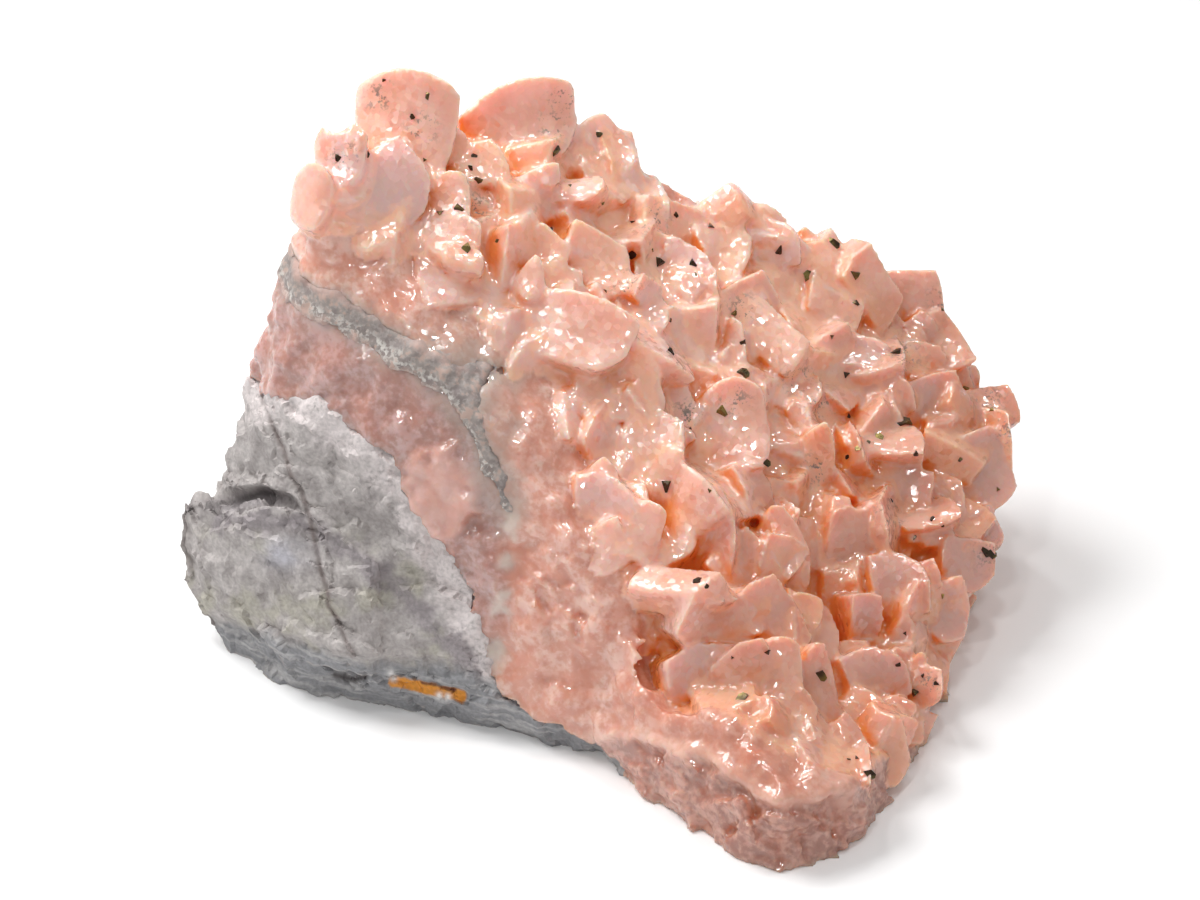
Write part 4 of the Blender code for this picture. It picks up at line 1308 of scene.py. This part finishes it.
def makeCrustBody():
    look = crustLook
    body = copyOf(lump, "crustBody")
    for room in (rockRoom, seamRoom):
        addBoolean(body, "DIFFERENCE", room)
    settle(body)
    mesh = body.data
    points = pointsOf(mesh) / mm
    toDruse = normalsOf(mesh) @ np.array(druse["out"])
    refine(mesh, (frontShare(mesh, points) > 0.3) & (toDruse < 0.72), 1)
    points = pointsOf(mesh) / mm
    normals = normalsOf(mesh)
    across, up = sighted(points)
    front = frontShare(mesh, points)
    along = points @ np.array(section["along"])
    high = points[:, 2]
    slope = np.array(druse["out"])
    onDruse = np.array([inside(a, u, druseEdge) for a, u in zip(across, up)], float)
    depth = points @ np.array(section["into"])
    onDruse *= ramp(normals @ slope, 0.20, 0.45)
    behind = ramp(points @ slope, 9.0, 11.0) * (1 - front) * ramp(depth, -1.0, 1.0)
    onDruse = np.maximum(onDruse, behind * ramp(normals @ slope, -0.75, -0.45) * ramp(high, 41.5, 40.0))
    edgeAt = np.interp(high, *zip(*look["mauveEdge"]))
    soft = noiseField(points, 1.6, 14, "lumps")
    mauve = ramp(edgeAt - along + soft * 0.8, -0.9, 0.9)
    ridgeAt = np.interp(along, *zip(*look["ridge"]))
    tip = ramp(ridgeAt - high + soft * 0.5, -0.5, 0.5) * ramp(along, 1.0, 5.0)
    x, y, radius = look["broken"]
    broken = front * ramp(np.hypot(across - x, up - y) + soft, radius, radius - 1.5)
    x, y, radius, height = look["glossy"]
    glossy = front * ramp(np.hypot(across - x, (up - y) * 0.8) + soft * 1.1, radius, radius - 1.5)

    domes = noiseField(points, look["domes"][0], 12, "grains")
    waxy = look["domes"][1] * domes * (1 - 0.6 * glossy)
    waxy += relief(points, look, ("lumps", 11, "lumps"))
    waxy += relief(points, look, ("fineLumps", 15, "lumps")) * (1 - 0.7 * glossy)
    rough = relief(points, look, ("tipFacets", 16, "facets"), ("tipGrains", 17, "facets"))
    shards = relief(points, look, ("brokenFacets", 13, "facets"))
    lift = waxy * (1 - np.maximum(tip * 0.8, broken * 0.6)) + rough * tip + shards * broken
    ridge = front * np.exp(-((high - ridgeAt - 0.2 + 0.3 * soft) / 0.5) ** 2)
    ridge *= ramp(along, 2.0, 6.0) * (1 - onDruse)
    lift += height * glossy + 0.45 * ridge
    sunk = ramp(np.hypot(across - hollow[0], up - hollow[1]) + 0.5 * soft, hollow[2], hollow[2] * 0.4)
    lift -= hollow[3] * front * sunk
    beside = lineDistance(along, high, [row[:2] for row in section["seam"]]) - 0.9
    lift *= 1 - 0.8 * front * ramp(beside, 1.4, 0.2)

    # painted shade in the creases between the domes and in the low places of the tip facets
    shadedCreases = ramp(domes + 0.3 * soft, 0.15, -0.35) * (1 - 0.5 * glossy)
    shadedCreases = np.maximum(shadedCreases * (1 - tip), tip * ramp(rough, 0.0, -0.35))
    trace = lineDistance(across, up, look["trace"]) + noiseField(points, 1.0, 21, "lumps") * 0.7
    broke = ramp(noiseField(points, 1.3, 22, "soft"), -0.15, 0.25)
    clear = np.where(np.hypot(across - hollow[0], up - hollow[1]) < hollow[2], 0, 1e9)
    for x, y, _, tall, wide, *_ in largeCrystals:
        clear = np.minimum(clear, np.hypot(across - x, up - y) / (tall + wide) * 2)
    setMasks(
        mesh,
        massive=1 - onDruse,
        mauve=mauve * (1 - onDruse),
        tip=tip * (1 - onDruse),
        crease=shadedCreases * (1 - onDruse) * (1 - 0.6 * mauve * (1 - glossy)),
        rim=ridge * 0.9,
        glossy=glossy,
        smoke=ramp(beside + soft * 0.8, 1.5, -0.3) * ramp(depth, 2.0, 0.0) * 0.6,
        trace=front * ramp(trace, 1.1, 0.1) * broke * 0.75,
        bed=onDruse * (1 - front * (clear < crystalLook["room"])),
    )
    movePoints(mesh, (points + normals * lift[:, None]) * mm)
    return body


def makeCrust(tree, names, shapes, smallOnes):
    crust = makeCrustBody()
    grown = newObject("dolomiteCrust", crystalPoints())
    addTree(grown, tree, {
        names["Crust"]: crust, names["Shapes"]: shapes, names["Small shapes"]: smallOnes,
        names["Material"]: materials["dolomite"]})
    settle(grown)
    addBoolean(grown, "DIFFERENCE", ground)
    settle(grown)
    return grown


def cleanShell(obj, gap=0.02):  # merges points that all but touch and keeps the largest shell
    shell = shellOf(obj.data)
    bmesh.ops.triangulate(shell, faces=shell.faces)
    bmesh.ops.remove_doubles(shell, verts=shell.verts, dist=gap * mm)
    unseen = set(shell.faces)
    shells = []
    while unseen:
        waiting = [unseen.pop()]
        found = set(waiting)
        while waiting:
            near = {face for edge in waiting.pop().edges for face in edge.link_faces} & unseen
            unseen -= near
            found |= near
            waiting += near
        shells.append(found)
    largest = max(shells, key=len)
    extra = [face for face in shell.faces if face not in largest]
    bmesh.ops.delete(shell, geom=extra, context="FACES")
    shell.to_mesh(obj.data)
    shell.free()


def spread(count):  # directions over a half sphere about +Z, more of them near the pole
    golden = math.pi * (3 - math.sqrt(5))
    made = []
    for index in range(count):
        radius = math.sqrt((index + 0.5) / count)
        turn = index * golden
        height = math.sqrt(1 - radius * radius)
        made.append(Vector((radius * math.cos(turn), radius * math.sin(turn), height)))
    return made


def shelter(mesh, reach, count=12):  # share of directions that meet the piece again within reach mm
    tree = surfaceTree(mesh)
    rays = spread(count)
    values = np.zeros(len(mesh.vertices))
    for index, (point, normal) in enumerate(zip(pointsOf(mesh), normalsOf(mesh))):
        normal = Vector(normal)
        turn = normal.to_track_quat("Z", "Y").to_matrix()
        start = Vector(point) + normal * 0.05 * mm
        met = 0.0
        for ray in rays:
            distance = tree.ray_cast(start, turn @ ray, reach * mm)[3]
            if distance is not None:
                met += 1 - 0.5 * distance / (reach * mm)
        values[index] = met / count
    return values


meltLook = {
    "voxel": 0.22,  # mm, the finest edge that is kept
    "rounds": 24,  # of filling the angles between crystals
    # mm across, and from the left edge of the druse: from the fullest filling to the lightest
    "across": (-14.0, 3.0), "away": (1.0, 9.0),
    "fill": (0.85, 0.14), "soften": (0.10, 0.01), "softer": 0.3, "triangles": 192000,
}


def melt(mesh):  # fills the angles between crystals, as growth does, and leaves their outer edges
    look = meltLook
    pairs = np.empty(len(mesh.edges) * 2, np.int32)
    mesh.edges.foreach_get("vertices", pairs)
    first, second = pairs[0::2], pairs[1::2]
    ends, others = np.concatenate([first, second]), np.concatenate([second, first])
    count = np.bincount(ends, minlength=len(mesh.vertices))
    across, up = sighted(pointsOf(mesh) / mm)
    share = ramp(across, *look["across"]) * ramp(lineDistance(across, up, druseEdge[-6:]), *look["away"])
    fill = look["fill"][0] + (look["fill"][1] - look["fill"][0]) * share
    soften = look["soften"][0] + (look["soften"][1] - look["soften"][0]) * share
    soften += look["softer"] * ramp(across, -14.5, -18.0)
    massive = getMask(mesh, "massive")
    fill -= fill * massive
    soften *= 1 - massive
    filled = np.zeros(len(across))
    for _ in range(look["rounds"]):
        points, normals = pointsOf(mesh), normalsOf(mesh)
        middles = np.stack([np.bincount(ends, points[others, axis], len(points)) for axis in range(3)], 1)
        rise = ((middles / count[:, None] - points) * normals).sum(axis=1)
        step = rise * np.where(rise > 0, fill, soften)
        filled += step / mm
        points += normals * step[:, None]
        points[:, 2] = np.maximum(points[:, 2], 0)
        movePoints(mesh, points)
    setMasks(mesh, filled=filled)


def carryTree(masks):  # copies masks from the nearest place of another object
    tree, names = geometryTree("Carry masks", "Geometry", [("Source", "Object")])
    given = addNode(tree, "NodeGroupInput").outputs
    shell = nodeValue(tree, "GeometryNodeObjectInfo", {"Object": given["Source"]}, "Geometry")
    geometry = given["Geometry"]
    for name in masks:
        near = nodeValue(tree, "GeometryNodeSampleNearestSurface", {
            "Mesh": shell, "Value": named(tree, name)}, "Value")
        geometry = nodeValue(tree, "GeometryNodeStoreNamedAttribute", {
            "Geometry": geometry, "Name": name, "Value": near})
    addNode(tree, "NodeGroupOutput", {"Geometry": geometry})
    return tree, names


def meltCrust(crust):
    sharp = copyOf(crust, "sharpCrust")
    addRemesh(crust, meltLook["voxel"])
    carry, names = carryTree((
        "rim", "root", "tint", "massive", "mauve", "tip", "crease", "glossy", "smoke", "trace"))
    addTree(crust, carry, {names["Source"]: sharp})
    settle(crust)
    melt(crust.data)
    crust.data.calc_loop_triangles()
    thin = crust.modifiers.new("thin", "DECIMATE")
    thin.ratio = min(1.0, meltLook["triangles"] / len(crust.data.loop_triangles))
    thin.use_collapse_triangulate = True
    settle(crust)
    coat(crust.data, "dolomite")


crustSmuts = [  # grey dust on the rims of some crystals, as sighted
    (-2.6, 26.2), (-16.4, 26.2), (-18.9, 21.8), (25.6, 11.0), (28.8, 3.9), (30.4, 1.4), (10.0, 3.6),
    (14.6, 5.2), (-9.2, 17.9), (10.6, 10.4), (-13.2, 23.8), (-3.4, 24.0), (21.4, -5.0), (28.8, -7.6),
    (24.4, -17.4),
    (6.4, 2.6), (16.2, 3.4), (2.0, 12.2), (22.6, 7.0), (16.0, -1.4), (4.0, 17.0),
]


def paintCrust(mesh):
    across, up = sighted(pointsOf(mesh) / mm)
    filled = ramp(getMask(mesh, "filled"), 0.25, 0.9) * (1 - getMask(mesh, "massive"))
    setMasks(
        mesh,
        # painted shade: an orange glow where the surface is sheltered, and where the melt filled between
        # crystals
        deep=ramp(shelter(mesh, 5.0), 0.20, 0.62) + 0.25 * filled,
        dusk=ramp(across - up * 0.5, 6.0, 22.0),  # painted shade, darker towards the lower right, away from the crown
        smut=spots(across, up, crustSmuts, 1.0),
    )
    smoothShade(mesh, 44)


tree, names = druseTree()
shapes, smallOnes = crystalShapes()
crust = makeCrust(tree, names, shapes, smallOnes)
cleanShell(crust)
meltCrust(crust)
paintCrust(crust.data)
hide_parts("dolomite_crust")
print("crust", len(crust.data.polygons), "faces")


# the grey seam
seamLook = {
    "grain": 0.22, "rise": 0.16,  # mm between points, and out of the broken surface
    "grains": (0.9, 0.12), "lumps": (2.0, 0.12),  # mm apart, mm tall
}


def makeSeam():
    look = seamLook
    seam = copyOf(lump, "seamBand")
    addBoolean(seam, "INTERSECT", seamZone)
    settle(seam)
    addRemesh(seam, look["grain"])
    settle(seam)
    mesh = seam.data
    points = pointsOf(mesh) / mm
    lift = look["rise"] + relief(points, look, ("grains", 31, "grains"))
    lift += relief(points, look, ("lumps", 32, "lumps"))
    movePoints(mesh, (points + normalsOf(mesh) * lift[:, None]) * mm)
    along, high = points @ np.array(section["along"]), points[:, 2]
    line = [row[:2] for row in section["seam"]]
    aside = lineDistance(along, high, line) + 0.45 * noiseField(points, 0.8, 33, "lumps")
    depth = points @ np.array(section["into"]) + 0.8 * noiseField(points, 1.4, 35, "lumps")
    below = np.interp(along, *zip(*sorted(line))) - high + 0.5 * noiseField(points, 1.2, 34, "lumps")
    edge = np.maximum(ramp(aside, 0.6, 1.3), ramp(depth, 0.2, 2.4))
    setMasks(mesh, edge=edge, pale=ramp(below, -0.3, 0.5))
    smoothShade(mesh, 45)
    coat(mesh, "seam")
    return seam


seam = makeSeam()
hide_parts("grey_seam")
coat(rock.data, "dolostone")
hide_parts("matrix_rock")
print("seam", len(seam.data.polygons), "faces")


# the chalcopyrite grains
grainLook = {
    "shapes": 8, "seed": 23,
    "blunt": (0.24, 0.44),  # how far each corner is cut back
    "stretch": (0.75, 1.15),
    "sink": 0.16,  # of the width, into the crystal below
}

# mm across, mm up, width
grainPlaces = [
    (-3.3, 22.1, 0.9), (-10.4, 17.9, 0.9), (-11.9, 17.6, 0.7), (-9.9, 15.0, 0.9), (-9.0, 20.0, 0.6),
    (-19.4, 21.6, 0.7), (-12.8, 26.2, 0.6), (2.3, 14.5, 1.0), (4.4, 13.9, 0.9), (5.6, 17.4, 0.6),
    (6.9, 13.8, 0.8), (5.2, 7.3, 0.7), (9.9, 10.1, 0.6), (10.6, 5.8, 0.9), (13.3, 14.8, 0.8),
    (15.3, 12.9, 0.9), (18.9, 13.0, 0.8), (19.0, 10.9, 0.7), (22.0, 7.3, 1.1), (18.2, 5.6, 0.7),
    (9.1, 2.8, 1.0), (12.4, -1.0, 0.7), (22.6, 2.1, 1.2), (20.7, 1.0, 0.8), (4.9, -2.6, 0.9),
    (27.1, 4.6, 0.6), (7.2, -9.7, 0.8), (28.6, -7.6, 0.9), (16.4, -16.7, 1.0), (10.6, -18.3, 1.0),
    (23.3, -17.9, 0.9), (20.0, -23.9, 0.9), (17.3, 15.3, 0.9), (29.0, -7.8, 0.9),
]
speckPlaces = [  # the smaller ones
    (-9.3, 21.8), (-9.6, 20.9), (-17.2, 21.9), (-13.0, 21.5), (-13.9, 24.7), (-16.0, 27.4), (-0.1, 23.4),
    (-2.2, 19.6), (0.2, 18.3), (2.4, 16.9), (-3.6, 16.4), (-7.6, 15.5), (3.9, 14.8), (0.4, 11.8),
    (8.2, 16.6), (7.1, 13.0), (5.2, 9.6), (10.6, 8.0), (17.2, 8.4), (6.7, 1.6), (18.4, 2.5), (19.9, 0.6),
    (19.1, 0.1), (18.3, -0.5), (23.4, -0.2), (8.1, -3.0), (29.0, 3.0), (25.4, 10.4), (26.7, -0.7),
    (29.5, -2.9), (24.6, -5.1), (25.4, -5.6), (21.6, -3.7), (23.3, -6.5), (25.4, -10.8), (7.9, -10.1),
    (12.4, -15.0), (9.8, -15.4), (22.1, -15.9), (23.9, -16.7), (24.9, -17.3), (22.6, -13.6),
    (19.0, -22.8), (18.4, -22.9),
]


def grainShape(name, chance, collection):  # a small sphenoid with blunt corners, about 1 across
    corners = [Vector(corner) * 0.50 for corner in ((1, 1, 1), (-1, -1, 1), (-1, 1, -1), (1, -1, -1))]
    stretch = [chance.uniform(*grainLook["stretch"]) for _ in range(3)]
    shell = bmesh.new()
    for corner in corners:
        blunt = chance.uniform(*grainLook["blunt"])
        for other in corners:
            if other is not corner:
                place = corner.lerp(other, blunt * chance.uniform(0.8, 1.2))
                shell.verts.new([value * wide for value, wide in zip(place, stretch)])
    bmesh.ops.convex_hull(shell, input=shell.verts)
    bmesh.ops.recalc_face_normals(shell, faces=shell.faces)
    fromShell(name, shell, collection)


def grainTree():
    tree, names = geometryTree(
        "Chalcopyrite grains", "Points", (("Shapes", "Collection"), ("Material", "Material")))
    given = addNode(tree, "NodeGroupInput").outputs
    endTree(tree, grownShapes(tree, given), given["Material"])
    return tree, names


def grainMatrices():  # each grain sits where its line of sight meets the crust
    chance = random.Random(grainLook["seed"])
    surface = surfaceTree(crust.data)
    rows = grainPlaces + [(across, up, chance.uniform(0.35, 0.55)) for across, up in speckPlaces]
    matrices = []
    for across, up, width in rows:
        spin = Quaternion([chance.gauss(0, 1) for _ in range(4)]).normalized()
        hit = None
        while hit is None:
            ray = (sheetPoint(across, up) - eye).normalized()
            hit, normal = surface.ray_cast(eye * mm, ray)[:2]
            up -= 0.15
        place = hit - normal * grainLook["sink"] * width * mm
        turn = spin.to_matrix().to_4x4()
        matrices.append(Matrix.Translation(place) @ turn @ Matrix.Scale(width * mm, 4))
    return matrices


def makeGrains():
    collection = bpy.data.collections.new("grainShapes")
    chance = random.Random(grainLook["seed"])
    for number in range(grainLook["shapes"]):
        grainShape(f"grain{number}", chance, collection)
    matrices = grainMatrices()
    shapes = [index % grainLook["shapes"] for index in range(len(matrices))]
    grains = newObject("chalcopyriteGrains", growPoints("grainPoints", matrices, shapes), helpers)
    tree, names = grainTree()
    addTree(grains, tree, {names["Shapes"]: collection, names["Material"]: materials["chalcopyrite"]})
    settle(grains)
    removeCollection(collection)
    return grains


grains = makeGrains()
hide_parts(*sorted(name for name in frame["nodes"] if name.startswith("chalcopyrite")))
print("grains", len(grains.data.polygons), "faces")

for piece, slot in ((crust, "dolomite"), (rock, "dolostone"), (seam, "seam"), (grains, "chalcopyrite")):
    for collection in list(piece.users_collection):
        collection.objects.unlink(piece)
    bpy.context.scene.collection.objects.link(piece)
    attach(piece, "root")
for collection in (helpers, shapes, smallOnes):
    removeCollection(collection)


# floor, light and camera
studio = {
    "floor": (0.92, 0.92, 0.92), "worldStrength": 0.46,
    "keyPower": 0.44, "keySize": 0.12, "keyPlace": (-0.12, 0.06, 0.205),
    "fillPower": 0.04, "fillSize": 0.4, "fillPlace": (0.1, -0.5, 0.25),
    "sparkPower": 0.12, "sparkSize": 0.026, "glintPower": 0.2, "glintSize": 0.05,
    "sparkPlaces": [(0.0, -0.06, 0.38), (-0.086, -0.194, 0.31), (0.10, 0.04, 0.36), (-0.06, 0.16, 0.33)],
}


def addFloor():
    shell = bmesh.new()
    bmesh.ops.create_grid(shell, x_segments=1, y_segments=1, size=1.5)
    floor = fromShell("floor", shell, bpy.context.scene.collection)
    material, tree, surface = newMaterial("floorPaper")
    surface["Base Color"].default_value = (*studio["floor"], 1)
    surface["Roughness"].default_value = 0.9
    floor.data.materials.append(material)


def addLight(name, power, size, place):
    light = bpy.data.lights.new(name, "AREA")
    light.shape = "DISK"
    light.energy = power
    light.size = size
    lamp = newObject(name, light)
    lamp.location = place
    lamp.rotation_euler = (sight["middle"] * mm - Vector(place)).to_track_quat("-Z", "Y").to_euler()
    return lamp


def addCamera():
    camera = bpy.data.cameras.new("camera")
    camera.lens = sight["lens"]
    camera.clip_start = 0.01
    made = newObject("camera", camera)
    made.location = eye * mm
    made.rotation_euler = sheetBack.to_track_quat("-Z", "Y").to_euler()
    bpy.context.scene.camera = made


addFloor()
addLight("key", studio["keyPower"], studio["keySize"], studio["keyPlace"])
addLight("fill", studio["fillPower"], studio["fillSize"], studio["fillPlace"])
for number, place in enumerate(studio["sparkPlaces"]):
    addLight(f"spark{number}", studio["sparkPower"], studio["sparkSize"], place)
    glint = addLight(f"glint{number}", studio["glintPower"], studio["glintSize"], place)
    glint.visible_diffuse = False  # it only shows as glints on the small facets
addCamera()
world = bpy.data.worlds.new("studio")
bpy.context.scene.world = world
world.use_nodes = True
sky = world.node_tree.nodes["Background"].inputs
sky["Color"].default_value = (1, 1, 1, 1)
sky["Strength"].default_value = studio["worldStrength"]
bpy.context.scene.view_settings.view_transform = "Standard"
print("studio done")
